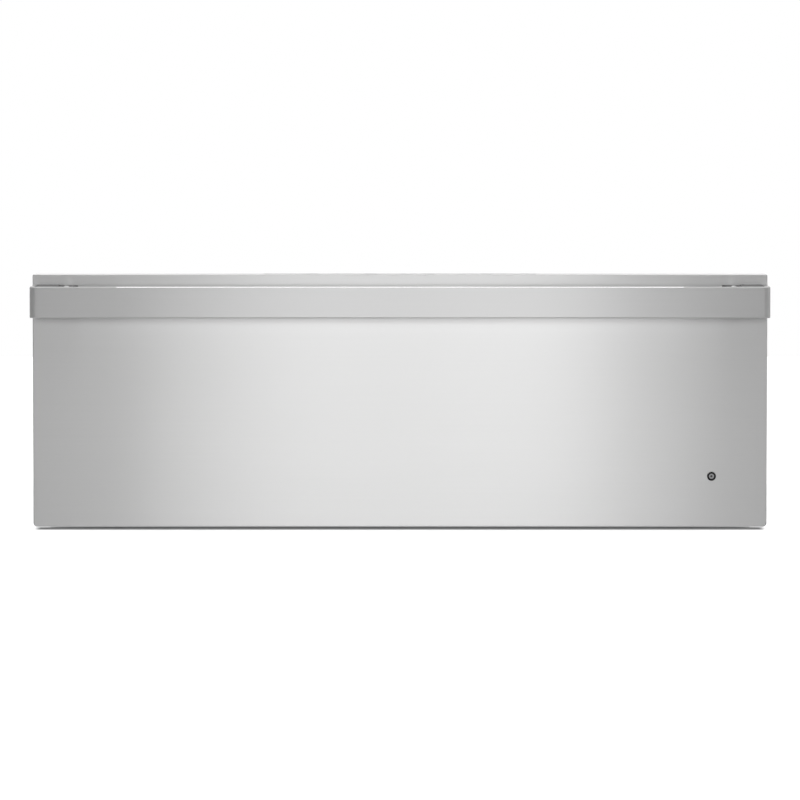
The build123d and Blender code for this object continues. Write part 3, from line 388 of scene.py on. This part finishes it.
def strap_finish():
    """The front's brushed steel, a little duller, with a painted highlight along its top edge
    between the feet, where it is also glossier."""
    f = Finish("strap stainless")
    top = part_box("handle_bar")[1].z
    x, _, z = f.axes()
    painted_highlight_low, painted_highlight_high, feet_start, feet_reached = -0.0011, -0.0006, 0.288, 0.291
    # edge: 1 along the strap's top edge between the feet, where a painted highlight lightens the
    # colour
    edge = (z - top).ramp(painted_highlight_low, painted_highlight_high) * (1 - abs(x).ramp(feet_start, feet_reached))
    colour = f.mix(edge, grey(0.455), grey(0.76))
    fine, shade = brush_marks(f, colour, grain_across, 0.05)
    return f.surface(shade, 0.29 - edge * 0.15, 1.0, height=fine, **brush_lift, **brush_sheen)


FINISHES = {
    "galvanised_steel": galvanised(),
    "liner_steel": brushed("liner steel", grey(0.5), 0.34, grain_back, 0.07),
    "insulation_wool": wool(),
    "gasket_silicone": moulded("gasket silicone", grey(0.012), grey(0.03), 0.55, 1400.0),
    "heater_sheath": scorched(),
    "plated_steel": satin("plated steel", (0.4, 0.41, 0.42), (0.58, 0.6, 0.62), 0.3, 40.0),
    "plated_screws": satin("plated screws", (0.5, 0.5, 0.52), (0.7, 0.71, 0.74), 0.22, 160.0),
    "circuit_board": power_board(),
    "black_plastic": moulded("black plastic", grey(0.012), grey(0.03), 0.45),
    "lever_plastic": moulded("lever plastic", grey(0.02), grey(0.045), 0.38, 700.0),
    "brushed_stainless": brushed(
        "brushed stainless", grey(0.55), 0.286, grain_across, 0.05, **brush_sheen
    ),
    "polished_feet": polished("polished feet", 0.93, 0.14),
    "bezel_black": moulded(
        "bezel black", grey(0.004), grey(0.01), 0.5, 1200.0, 0.00001, specular_ior_level=0.15
    ),
    "lens_smoke": lens_smoke(),
    "lamp_dark": moulded(
        "unlit lamp", grey(0.03), grey(0.05), 0.35, 2000.0, 0.00001, specular_ior_level=0.3
    ),
    "black_glass": strip_glass(),
    "key_black": moulded("key black", grey(0.01), grey(0.02), 0.2),
    "light_pipe": light_pipe(),
    "rail_steel": brushed("rail steel", grey(0.52), 0.3, grain_back, 0.06),
    "pan_stainless": brushed("pan stainless", grey(0.7), 0.28, (900.0, 8.0, 900.0), 0.05),
    "rack_chrome": polished("rack chrome", 0.66, 0.08),
}
strap_steel = strap_finish()
# the feet's near-black colour is painted shade: it stands in for the shadowed slots beside the
# posts
painted_shade_casting = moulded("blackened casting", grey(0.03), grey(0.06), 0.5, 600.0, specular_ior_level=0.1)
# dark grey block in the shadowed hook behind each strap end: painted shade, not a real part
painted_shade_block = moulded("rubber packing", grey(0.1), grey(0.18), 0.75, 800.0, specular_ior_level=0.05)
ceramic = moulded("ceramic bead", (0.7, 0.68, 0.62), (0.82, 0.8, 0.75), 0.4, 500.0)

for row in frame["record"]["subparts"]:
    node = frame["nodes"][row["node"]]
    node.data.materials.clear()
    node.data.materials.append(FINISHES[row["material_slot"]])


# ---- shapes ------------------------------------------------------------------------------------

def box_mm(node):
    """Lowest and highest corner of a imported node, in millimetres."""
    return [np.array(corner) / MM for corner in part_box(node)]


def grid(points, wrap_rows=False):
    """Closed surface from rows of points that each close on themselves: quads between neighbours,
    and flat ends, or the last row joined to the first. It is turned right side out by the sign of
    its volume, which is the sum of the corners' triple products."""
    rows, columns = points.shape[:2]
    row = np.arange(rows if wrap_rows else rows - 1)[:, None]
    column = np.arange(columns)[None, :]
    after_row, after_column = (row + 1) % rows, (column + 1) % columns
    corners = (row * columns + column, row * columns + after_column,
               after_row * columns + after_column, after_row * columns + column)
    quads = np.stack(np.broadcast_arrays(*corners), -1).reshape(-1, 4)
    faces = quads.tolist()
    flat = points.reshape(-1, 3)
    a, b, c, d = (flat[quads[:, i]] for i in range(4))
    volume = (np.cross(b, c) * a).sum() + (np.cross(c, d) * a).sum()
    if not wrap_rows:
        first = np.arange(columns)
        for end_ring, order in ((first, -1), (first + (rows - 1) * columns, 1)):
            cap = end_ring[::order]
            faces.append(cap.tolist())
            fan = flat[cap]
            volume += (np.cross(fan[1:-1], fan[2:]) * fan[0]).sum()
    if volume < 0:
        faces = [face[::-1] for face in faces]
    return flat, faces


def joined(shapes):
    """Several shapes as one."""
    points, faces, start = [], [], 0
    for shape_points, shape_faces in shapes:
        points.append(shape_points)
        faces += [[i + start for i in face] for face in shape_faces]
        start += len(shape_points)
    return np.concatenate(points), faces


def ring(half_x, half_y, radius, steps):
    """Rounded rectangle: four quarter circles about centres set in from the corners by their
    radius."""
    quarter = np.repeat(np.arange(4), steps + 1)
    angle = (quarter + np.tile(np.linspace(0, 1, steps + 1), 4)) * pi / 2
    sign_x = np.where((quarter == 0) | (quarter == 3), 1, -1)
    sign_y = np.where(quarter < 2, 1, -1)
    return np.stack([sign_x * (half_x - radius) + radius * np.cos(angle),
                     sign_y * (half_y - radius) + radius * np.sin(angle)], -1)


def at_height(outline, z):
    """A plan outline at one height."""
    return np.column_stack([outline, np.full(len(outline), z)])


def eased(corners, radii, closed, steps):
    """Corner points joined by straight runs, each corner eased by an arc. With unit vectors a and b
    to its neighbours and half the angle h between them, the arc starts at radius / tan h along a,
    its centre lies at radius / sin h along a + b, and its points turn evenly from end to end."""
    p = np.array(corners, float)
    r = np.maximum(np.array(radii, float), 1e-3)[:, None]
    a = np.roll(p, 1, 0) - p
    b = np.roll(p, -1, 0) - p
    a /= np.linalg.norm(a, axis=1, keepdims=True)
    b /= np.linalg.norm(b, axis=1, keepdims=True)
    half = np.arccos(np.clip((a * b).sum(1, keepdims=True), -1, 1)) / 2
    middle = a + b
    middle /= np.maximum(np.linalg.norm(middle, axis=1, keepdims=True), 1e-9)
    centre = p + middle * r / np.sin(half)
    start, end = (p + v * r / np.tan(half) - centre for v in (a, b))
    turn = (pi - 2 * half)[:, None]
    share = np.linspace(0, 1, steps + 1)[None, :, None]
    spokes = np.sin((1 - share) * turn) * start[:, None] + np.sin(share * turn) * end[:, None]
    arcs = centre[:, None] + spokes / np.sin(turn)
    if closed:
        return arcs.reshape(-1, p.shape[1])
    return np.concatenate([p[:1], arcs[1:-1].reshape(-1, p.shape[1]), p[-1:]])


def raised(outline, low, high, edge, steps):
    """A plan outline carried up from low to high. Near both ends it draws in along its normals by
    edge * (1 - cos t) while it nears the end by edge * (1 - sin t), which rounds the edges."""
    ahead = np.roll(outline, -1, 0) - np.roll(outline, 1, 0)
    normal = np.stack([ahead[:, 1], -ahead[:, 0]], -1)
    normal /= np.linalg.norm(normal, axis=1, keepdims=True)
    x, y = outline.T
    if (x * np.roll(y, -1) - y * np.roll(x, -1)).sum() < 0:
        normal = -normal
    t = np.linspace(0, pi / 2, steps + 1)
    draw = edge * (1 - np.concatenate([np.sin(t), np.sin(t)[::-1]]))
    z = np.concatenate([low + edge * (1 - np.cos(t)), high - edge * (1 - np.cos(t))[::-1]])
    plan = outline[None] - normal[None] * draw[:, None, None]
    heights = np.broadcast_to(z[:, None, None], plan.shape[:2] + (1,))
    return grid(np.concatenate([plan, heights], -1))


def carried(profile, path, up, closed=False):
    """A profile (across, outward) carried along a path: across follows tangent x up, outward
    follows up."""
    if closed:
        tangent = np.roll(path, -1, 0) - np.roll(path, 1, 0)
    else:
        tangent = np.gradient(path, axis=0)
    tangent /= np.linalg.norm(tangent, axis=1, keepdims=True)
    side = np.cross(tangent, up)
    side /= np.linalg.norm(side, axis=1, keepdims=True)
    rise = np.cross(side, tangent)
    across, outward = profile[None, :, :1], profile[None, :, 1:]
    return grid(path[:, None] + side[:, None] * across + rise[:, None] * outward, closed)


def circle(radius, around):
    """Points of a circle."""
    angle = np.arange(around) * 2 * pi / around
    return radius * np.stack([np.cos(angle), np.sin(angle)], -1)


def turned(profile, centre, around, axis="y", closed=False):
    """A profile of (radius, place along the axis) turned about an axis through the centre."""
    radius, along = np.array(profile, float).T
    angle = np.arange(around) * 2 * pi / around
    first = radius[:, None] * np.cos(angle)
    second = radius[:, None] * np.sin(angle)
    third = np.broadcast_to(along[:, None], first.shape)
    order = (first, third, second) if axis == "y" else (first, second, third)
    return grid(np.stack(order, -1) + np.array(centre, float), closed)


def piece(name, shape, body, finish, stands_for=(), crease=32):
    """A mesh object in metres that rides on a body, smooth except where its faces turn sharply."""
    points, faces = shape
    mesh = bpy.data.meshes.new(name)
    mesh.from_pydata((points * MM).tolist(), [], faces)
    mesh.shade_smooth()
    mesh.set_sharp_from_angle(angle=radians(crease))
    mesh.materials.append(finish)
    made = bpy.data.objects.new(name, mesh)
    bpy.context.scene.collection.objects.link(made)
    even = made.modifiers.new("even shading", "WEIGHTED_NORMAL")
    even.keep_sharp = True
    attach(made, body)
    if stands_for:
        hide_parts(*stands_for)
    return made


# ---- strap handle and its feet -----------------------------------------------------------------

def strap_shape():
    """Flat bar with both ends bent back: one plan outline carried up, its long edges rounded."""
    low, high = box_mm("handle_bar")
    thickness, bend, inner, tip, edge = 5.0, 6.6, 2.0, 1.6, 1.2
    inside = high[0] - thickness
    back = low[1] + thickness
    plan = [(-high[0], high[1]), (-high[0], low[1]), (high[0], low[1]), (high[0], high[1]),
            (inside, high[1]), (inside, back), (-inside, back), (-inside, high[1])]
    radii = [tip, bend, bend, tip, tip, inner, inner, tip]
    return raised(eased(plan, radii, True, 10), low[2], high[2], edge, 6)


def foot_shape(side):
    """Cast foot: saddle behind the strap, waisted neck and pad on the face, one plan outline
    carried up. Each corner is (across, back, radius)."""
    low, high = box_mm("handle_foot_right")
    strap_back, face = low[1], high[1]
    neck_in, neck_out = low[0] + 40.0, high[0] - 7.0
    saddle, pad, spread = strap_back + 3.5, face - 3.0, 4.0
    outline = [
        (low[0], strap_back, 0.3), (high[0], strap_back, 0.3), (high[0], saddle, 1.0),
        (neck_out, saddle, 4.0), (neck_out, pad, 2.0), (neck_out + spread, pad, 1.0),
        (neck_out + spread, face, 0.3), (neck_in - spread, face, 0.3), (neck_in - spread, pad, 1.0),
        (neck_in, pad, 2.0), (neck_in, saddle, 8.0), (low[0], saddle, 1.0),
    ]
    plan = eased([(side * x, y) for x, y, r in outline], [r for x, y, r in outline], True, 6)
    return raised(plan, low[2], high[2], 0.3, 3)


def post_shape(side):
    """Polished post that runs back from the strap through the neck: a profile turned about Y, with
    quarter circles at its ends, its crown just under the top edge of the strap."""
    low, high = box_mm("handle_foot_right")
    strap_top = box_mm("handle_bar")[1][2]
    radius, ease, ends = 4.0, 0.5, (low[1] + 0.5, high[1] - 18.0)
    t = np.linspace(0.1, pi / 2, 5)
    half = np.column_stack([radius - ease + ease * np.sin(t), ends[0] + ease - ease * np.cos(t)])
    other = np.column_stack([half[::-1, 0], ends[1] + ends[0] - half[::-1, 1]])
    centre = (side * (high[0] - 14.0), 0.0, strap_top - 0.15 - radius)
    return turned(np.concatenate([half, other]), centre, 64)


def painted_shade_block_shape(side):
    """Dark block in the hook of the strap's end, painted shade for the shadowed slot there: a plan
    outline with eased corners carried up.
    """
    low, high = box_mm("handle_bar")
    strap_back, inside = low[1] + 5.2, high[0] - 5.8
    foot = box_mm("handle_foot_right")[1][0] - 6.8
    step_x, step_y, reach = foot + 7.2, strap_back + 3.6, strap_back + 50.0
    plan = [(foot, step_y), (step_x, step_y), (step_x, strap_back), (inside, strap_back),
            (inside, reach), (foot, reach)]
    plan = eased([(side * x, y) for x, y in plan], [0.5, 0.5, 0.5, 2.5, 2.0, 1.0], True, 4)
    return raised(plan, low[2] + 1.0, high[2] - 0.05, 0.3, 3)


piece("strap", strap_shape(), "drawer", strap_steel, ["handle_bar"])
for side, hand in ((-1, "left"), (1, "right")):
    foot, polish = foot_shape(side), FINISHES["polished_feet"]
    piece(f"foot_{hand}", foot, "drawer", painted_shade_casting, [f"handle_foot_{hand}"])
    piece(f"post_{hand}", post_shape(side), "drawer", polish)
    piece(f"packing_{hand}", painted_shade_block_shape(side), "drawer", painted_shade_block)


# ---- indicator light ---------------------------------------------------------------------------

def indicator_spot():
    """Where the indicator's axis meets the drawer front: the bezel's lip stands 0.8 proud of it."""
    low, high = box_mm("indicator_bezel")
    return (low[0] + high[0]) / 2, low[1] + 0.8, (low[2] + high[2]) / 2


def bezel_shape():
    """Ring turned about Y, its section as (radius, depth): bore, lip with its inner and outer edges
    as quarter circles, neck through the front, flange behind the sheet, and sleeve."""
    t = np.linspace(0, pi / 2, 6)
    section = np.concatenate([
        [(3.1, 5.0), (3.1, -0.34), (2.65, -0.34)],
        np.stack([2.9 - 0.3 * np.cos(t), -0.5 - 0.3 * np.sin(t)], -1),
        np.stack([4.2 + 0.4 * np.sin(t), -0.4 - 0.4 * np.cos(t)], -1),
        [(4.6, 0.0), (3.9, 0.0), (3.9, 1.0), (4.6, 1.0), (4.6, 1.8), (3.9, 1.8), (3.9, 5.0)],
    ])
    return turned(section, indicator_spot(), 64, closed=True)


def lens_shape():
    """Ring turned about Y: its front rises and falls by 0.06 in two cosine ripples between the
    lamp's hole and the rim."""
    hole, width, ripple = 1.35, 1.45, 0.06
    reach = np.linspace(hole, hole + width, 25)
    front = -0.25 - ripple * np.cos((reach - hole) / width * 4 * pi)
    section = np.concatenate([
        [(1.3, 2.5), (1.3, -0.2)], np.stack([reach, front], -1), [(3.0, -0.1), (3.0, 2.5)],
    ])
    return turned(section, indicator_spot(), 64, closed=True)


def lamp_shape():
    """Lamp turned about Y: a tip through the lens, domed as a quarter ellipse, then its body."""
    t = np.linspace(0.05, pi / 2, 9)
    section = np.concatenate([
        np.stack([1.2 * np.sin(t), 0.55 - 0.95 * np.cos(t)], -1),
        [(1.2, 2.5), (2.3, 2.5), (2.5, 2.7), (2.5, 9.2), (2.3, 9.5), (0.05, 9.5)],
    ])
    return turned(section, indicator_spot(), 40)


for name, shape, slot in (("bezel", bezel_shape(), "bezel_black"),
                          ("lens", lens_shape(), "lens_smoke"),
                          ("lamp", lamp_shape(), "lamp_dark")):
    piece(name, shape, "drawer", FINISHES[slot], [f"indicator_{name}"])


# ---- keys --------------------------------------------------------------------------------------

def key_shape(node):
    """Rounded-rectangle rings from the stem up: round stem, flange under the glass, cap, and a top
    dished by 0.25 * (1 - r * r), where r is the share of the way from the middle to the edge."""
    low, high = box_mm(node)
    centre = (low[:2] + high[:2]) / 2
    half_x, half_y, corner, ease, dish = 7.7, 3.7, 1.8, 0.3, 0.25
    top, flange_top = high[2], high[2] - 4.1
    flange_low = flange_top - 1.5
    wide, chamfered = (half_x + 1.5, half_y + 1.5, 0.7), (half_x + 1.3, half_y + 1.3, 0.5)
    t = np.linspace(0, pi / 2, 5)
    rings = [(1.5, 1.5, 1.49, low[2]), (1.5, 1.5, 1.49, flange_low), (*chamfered, flange_low),
             (*wide, flange_low + 0.2), (*wide, flange_top - 0.2), (*chamfered, flange_top),
             (half_x, half_y, corner, flange_top)]
    rings += [(half_x - d, half_y - d, corner - d, top - ease + ease * sin(a))
              for a, d in zip(t, ease * (1 - np.cos(t)))]
    for share in np.linspace(0.96, 0.06, 12):
        reach_y = (half_y - ease) * share
        reach_x = half_x - ease - (half_y - ease) * (1 - share)
        radius = min(corner - ease, reach_y * 0.98)
        rings.append((reach_x, reach_y, radius, top - dish * (1 - share ** 2)))
    return grid(np.array([at_height(ring(a, b, r, 6) + centre, z) for a, b, r, z in rings]))


for number in range(1, 5):
    node = f"key_{number}"
    gloss = key_gloss(node, number - 1)
    piece(f"cap_{number}", key_shape(node), node, gloss, [node])


# ---- gasket ------------------------------------------------------------------------------------

def gasket_shape():
    """Two-bulb silicone seal carried round the mouth of the cavity: with a from -1 to 1 across, it
    stands (1 - a * a) ** 0.4 of its height proud, less a groove of exp(-(5 * a) ** 2) along its
    middle."""
    low, high = box_mm("door_gasket")
    half_width, corner = 4.0, 10.0
    half_x = (high[0] - low[0]) / 2 - half_width
    half_z = (high[2] - low[2]) / 2 - half_width
    line = ring(half_x, half_z, corner, 12)
    middle_z = (low[2] + high[2]) / 2
    path = np.column_stack([line[:, 0], np.full(len(line), high[1]), line[:, 1] + middle_z])
    a = np.sin(np.linspace(-pi / 2, pi / 2, 25))
    groove = 1 - 0.45 * np.exp(-(5 * a) ** 2)
    proud = (high[1] - low[1]) * (1 - a ** 2).clip(0) ** 0.4 * groove
    section = np.column_stack([half_width * a, proud])
    return carried(section, path, (0.0, -1.0, 0.0), closed=True)


piece("seal", gasket_shape(), "casing", FINISHES["gasket_silicone"],
      ["door_gasket"], crease=60)


# ---- heater ------------------------------------------------------------------------------------

def heater_shapes():
    """Tube along the folded route, and at each end the threaded stud: a profile whose radius
    follows the thread as a cosine of its length, turned. Gives the shape and the tube's ends."""
    low, high = box_mm("heating_element")
    radius, bend, stud_length, thread = 3.25, 50.0, 10.0, 0.7
    z = (low[2] + high[2]) / 2
    outer = high[0] - radius
    x = [-outer, -outer / 3, outer / 3, outer]
    front, end = low[1] + radius, high[1] - stud_length
    rear = box_mm("element_clips")[1][1] - 3.0 + 90.0
    route = [(x[0], end), (x[0], front), (x[1], front), (x[1], rear),
             (x[2], rear), (x[2], front), (x[3], front), (x[3], end)]
    path = at_height(eased(route, [bend] * 8, False, 16), z)
    tube = carried(circle(radius, 20), path, (0.0, 0.0, 1.0))
    along = np.linspace(0.3, 9.7, 57)
    crest = 1.32 + 0.17 * np.cos(along * 2 * pi / thread)
    stud = np.column_stack([
        np.concatenate([[1.2], crest, [1.2]]), np.concatenate([[0.0], along, [9.9]])
    ])
    ends = [(x[0], end, z), (x[3], end, z)]
    return joined([tube, *(turned(stud, place, 20) for place in ends)]), ends


def hexagon(radius, place, length, bore):
    """Hexagon nut along Y: an outline with eased corners, chamfered at both ends, and a bore."""
    outline = eased(circle(radius, 6), [0.5] * 6, True, 3)
    inner = bore * outline / np.linalg.norm(outline, axis=1, keepdims=True)
    rings = [(inner, 0.0), (outline * 0.94, 0.0), (outline, 0.4), (outline, length - 0.4),
             (outline * 0.94, length), (inner, length)]
    rows = [np.column_stack([r[:, 0], np.full(len(r), y), r[:, 1]]) for r, y in rings]
    return grid(np.array(rows) + np.array(place), wrap_rows=True)


heater, heater_ends = heater_shapes()
nuts = joined([hexagon(3.2, (x, y + 4.5, z), 2.4, 1.55) for x, y, z in heater_ends])
bead = [(1.6, 0.3), (3.3, 0.3), (3.8, 0.8), (3.8, 2.2), (2.6, 3.0), (2.6, 4.2), (1.6, 4.2)]
beads = joined([turned(bead, place, 32, closed=True) for place in heater_ends])
sheath = FINISHES["heater_sheath"]
piece("heater", heater, "casing", sheath, ["heating_element"])
piece("heater_nuts", nuts, "casing", FINISHES["plated_screws"])
piece("heater_beads", beads, "casing", ceramic)


# ---- pan and rack ------------------------------------------------------------------------------

def pan_shape():
    """Drawn pan. Its section runs from the edge of the rim inwards, as (distance in from the rim's
    edge, height): rim, draw radius, wall with 2 degrees of draft, foot radius, and a floor whose
    middle field is raised by a smooth step. The underside is the same line moved out by the sheet
    along its normals, and each point of the section becomes a rounded-rectangle ring whose corner
    shrinks with its distance in."""
    low, high = box_mm("drawer_pan")
    half = (high[:2] - low[:2]) / 2
    centre = (high[:2] + low[:2]) / 2
    sheet, rim, draw, foot, draft = 0.8, 14.0, 1.8, 9.2, radians(2)
    corner, least_corner = 42.0, 6.0
    field, step, lift, middle = 70.0, 6.0, 1.4, 110.0
    top, floor = high[2], low[2] + sheet
    wall_top = rim + sheet
    wall_low = wall_top + (top - floor) * tan(draft)
    t = np.linspace(0, pi / 2, 7)
    arc = np.linspace(0, pi / 2 - draft, 12) + draft
    share = np.linspace(0, 1, 9)
    section = np.concatenate([
        [(0.4, top), (wall_top - draw, top)],
        np.column_stack([wall_top - draw + draw * np.sin(t), top - draw + draw * np.cos(t)])[1:],
        np.column_stack([wall_low - 0.3 + foot - foot * np.cos(arc),
                         floor + foot - foot * np.sin(arc)]),
        np.column_stack([field + step * share, floor + lift * share ** 2 * (3 - 2 * share)]),
        [(middle, floor + lift)],
    ])
    run = np.gradient(section, axis=0)
    run /= np.linalg.norm(run, axis=1, keepdims=True)
    under = section + sheet * np.column_stack([run[:, 1], -run[:, 0]])
    under[0] = (0.4, top - sheet)
    under[1, 1] = top - sheet
    edge = [(0.1, top - sheet + 0.3), (0.1, top - 0.3)]
    rows = [
        at_height(ring(half[0] - d, half[1] - d, max(corner - d, least_corner), 12) + centre, z)
        for d, z in np.concatenate([under[::-1], edge, section])
    ]
    return grid(np.array(rows))


def rack_shapes():
    """Round wire ring, cross wires that lie on it, and four feet. Each end of a wire is domed by a
    profile whose radius follows a quarter circle."""
    low, high = box_mm("pan_rack")
    wire, ring_wire, corner, pitch, weld = 1.5, 2.5, 30.0, 34.0, 0.8
    half = (high[:2] - low[:2]) / 2 - ring_wire
    centre = (high[:2] + low[:2]) / 2
    wire_z = high[2] - wire
    ring_z = wire_z + weld - ring_wire - wire
    line = ring(half[0], half[1], corner, 14) + centre
    frame_wire = carried(
        circle(ring_wire, 16), at_height(line, ring_z), (0.0, 0.0, 1.0), closed=True
    )
    t = np.linspace(0.15, pi / 2, 4)
    tip = np.sin(t)
    reach = half[1] + wire / 2
    along = np.concatenate([-reach + wire * (1 - np.cos(t)), [0.0]])
    along = np.concatenate([along, -along[-2::-1]])
    thick = wire * np.concatenate([tip, [1.0], tip[::-1]])
    wire_profile = np.column_stack([thick, along])
    count = int(2 * (half[0] - corner) // pitch) + 1
    places = [centre[0] + (i - (count - 1) / 2) * pitch for i in range(count)]
    wires = [turned(wire_profile, (x, centre[1], wire_z), 10) for x in places]
    foot = [(1.4, low[2]), (2.0, low[2] + 0.6), (2.0, ring_z)]
    feet = [
        turned(foot, (centre[0] + a * half[0], centre[1] + b * (half[1] - 60.0), 0.0), 16, axis="z")
        for a in (-1, 1) for b in (-1, 1)
    ]
    return joined([frame_wire, *wires, *feet])


pan_steel, chrome = FINISHES["pan_stainless"], FINISHES["rack_chrome"]
piece("pan", pan_shape(), "drawer", pan_steel, ["drawer_pan"], crease=50)
piece("rack", rack_shapes(), "drawer", chrome, ["pan_rack"], crease=40)


# ---- floor, tent and lights --------------------------------------------------------------------

TENT = 12.0  # radius of the tent, in metres


def plain(name, points, faces, finish):
    """A stage mesh in metres."""
    mesh = bpy.data.meshes.new(name)
    mesh.from_pydata(points, [], faces)
    mesh.materials.append(finish)
    made = bpy.data.objects.new(name, mesh)
    bpy.context.scene.collection.objects.link(made)
    return made


def footprint(x, y, half, start, end, side, ahead):
    """How far outside a rectangle of the floor, as a share of the width of its soft edge: side to
    the left and right, ahead to the front and back."""
    return ((abs(x) - half) / side).most((abs(y - (start + end) / 2) - (end - start) / 2) / ahead)


def floor_finish():
    """Pale matt top of a light table: a trace of unevenness, and a glow that fades out at the
    footprint of the closed drawer, by the distance outside the rectangles of its front and its
    casing. Inside the footprint the floor's colour is also darkened to 0.5, a painted contact
    shadow, and the glow is held off there to keep it dark."""
    f = Finish("floor")
    x, y, _ = f.axes()
    cloud = f.noise(0.8, detail=2.0)
    front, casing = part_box("front_panel"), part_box("rear_cover")
    edge, edge_ahead, casing_edge = 0.007, 0.02, 0.008
    under_front = footprint(x, y, front[1].x - edge, front[0].y, front[1].y, edge, edge_ahead)
    under_casing = footprint(
        x, y, casing[1].x, front[1].y, casing[1].y, casing_edge, casing_edge
    )
    clear_of_painted_shadow = under_front.least(under_casing).ramp(0.0, 1.0)
    glow = f.mix(clear_of_painted_shadow, grey(0.0), grey(0.5))
    # painted contact shadow: the floor's colour drops from about 0.92 to 0.5 inside the footprint
    shade = f.mix(clear_of_painted_shadow, grey(0.5), f.mix(cloud, grey(0.91), grey(0.93)))
    return f.surface(
        shade, 0.9, specular_ior_level=0.1, emission_color=glow, emission_strength=1.0
    )


def tent_finish():
    """Studio tent, by the sine of the elevation: a band of lamps stands on the horizon, brightest
    straight ahead and dimmer at both sides. The floor beyond the table is dark just below it and
    lighter towards the table, and the tent glows overhead, at the sides and at the back."""
    f = Finish("tent")
    x, y, z = f.axes()
    level = z / TENT
    band = level.ramp(-0.01, 0.01) * (1 - level.ramp(0.17, 0.21))
    ahead = (1 - abs(x - 0.12).ramp(0.5, 1.1)) * (y < 0.0)
    left, right = (0 - x).ramp(TENT / 2, TENT), x.ramp(TENT / 2, TENT)
    lamps = 1.85 + ahead * 1.1 - left * 0.9 - right * 0.1
    near_floor = 1 - level.ramp(-0.5, -0.28)
    ceiling = level.ramp(0.45, 0.8)
    back = y.ramp(-7.5, -2.0) * (z > 0.0) * (1 - band)
    glow = 0.08 + near_floor * 0.85 + band * lamps + ceiling * 0.9 + back * 0.6
    return f.close(f.node("ShaderNodeEmission", sockets={0: rgba(grey(0.97)), 1: glow}))


table_corners = [(-3.2, -3.4, 0), (3.2, -3.4, 0), (3.2, 3.0, 0), (-3.2, 3.0, 0)]
table = plain("floor", table_corners, [(0, 1, 2, 3)], floor_finish())
table.visible_glossy = False

# tent: a sphere round the stage, with small flat caps at its poles. It lights the scene but is
# hidden from the camera
rise = np.linspace(0.02 - pi / 2, pi / 2 - 0.02, 24)[:, None]
turn = np.linspace(0, 2 * pi, 49)[None, :-1]
sphere = (np.cos(rise) * np.cos(turn), np.cos(rise) * np.sin(turn), np.sin(rise))
tent_points, tent_faces = grid(TENT * np.stack(np.broadcast_arrays(*sphere), -1))
tent = plain("tent", tent_points.tolist(), tent_faces, tent_finish())
tent.visible_camera = False


def softbox(name, place, target, width, height, watts):
    """Rectangular studio light that faces its target and is not seen itself."""
    data = bpy.data.lights.new(name, "AREA")
    data.shape = "RECTANGLE"
    data.size, data.size_y = width, height
    data.energy = watts
    made = bpy.data.objects.new(name, data)
    made.location = place
    made.rotation_euler = (Vector(target) - Vector(place)).to_track_quat("-Z", "Y").to_euler()
    made.visible_camera = False
    bpy.context.scene.collection.objects.link(made)
    return made


# lights in front: a far window, a low card near the floor and a row of taller cards, which give the
# face its broad sheen right of the middle (name, left and right ends, base and top, distance ahead,
# radiance)
cards_ahead, cards_top = 1.28, 0.3
for name, start, end, base, top, ahead, radiance in (
        ("window", -0.305, 0.29, 0.02, 0.88, 3.68, 2.0),
        ("low_card", -0.31, 0.35, 0.0, 0.08, cards_ahead, 2.63),
        ("card_far_left", -0.45, -0.34, 0.0, cards_top, cards_ahead, 0.42),
        ("card_left", -0.34, -0.17, 0.0, cards_top, cards_ahead, 0.11),
        ("card_middle", -0.17, -0.06, 0.0, cards_top, cards_ahead, 0.18),
        ("card_right_inner", 0.06, 0.14, 0.0, cards_top, cards_ahead, 0.36),
        ("card_right", 0.14, 0.26, 0.0, cards_top, cards_ahead, 0.77),
        ("card_far_right", 0.34, 0.45, 0.0, cards_top, cards_ahead, 0.21)):
    x, z, width, height = (start + end) / 2, (base + top) / 2, end - start, top - base
    softbox(name, (x, -ahead, z), (x, 0.0, z), width, height, radiance * pi * width * height)
softbox("overhead", (0.0, -0.8, 5.0), (0.0, -0.8, 0.0), 7.0, 7.0, 60)

world = bpy.data.worlds.new("white")
world.use_nodes = True
world.node_tree.nodes["Background"].inputs[0].default_value = (1.0, 1.0, 1.0, 1.0)
bpy.context.scene.world = world
bpy.context.scene.view_settings.view_transform = "Standard"

# ---- camera ------------------------------------------------------------------------------------

# square in front, a little above the handle; the drawer front fills 733.6 of 800 pixels
face_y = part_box("front_panel")[0].y
distance, rise_angle, field_width, sensor = 6.3, radians(3.5), 0.8234, 36.0
aim = Vector((0.0, face_y, 0.1334))
camera = bpy.data.objects.new("camera", bpy.data.cameras.new("camera"))
camera.data.sensor_width = sensor
camera.data.lens = sensor * distance / field_width
camera.data.clip_end = 200.0
camera.location = aim + distance * Vector((0.0, -cos(rise_angle), sin(rise_angle)))
camera.rotation_euler = (aim - camera.location).to_track_quat("-Z", "Y").to_euler()
bpy.context.scene.collection.objects.link(camera)
bpy.context.scene.camera = camera
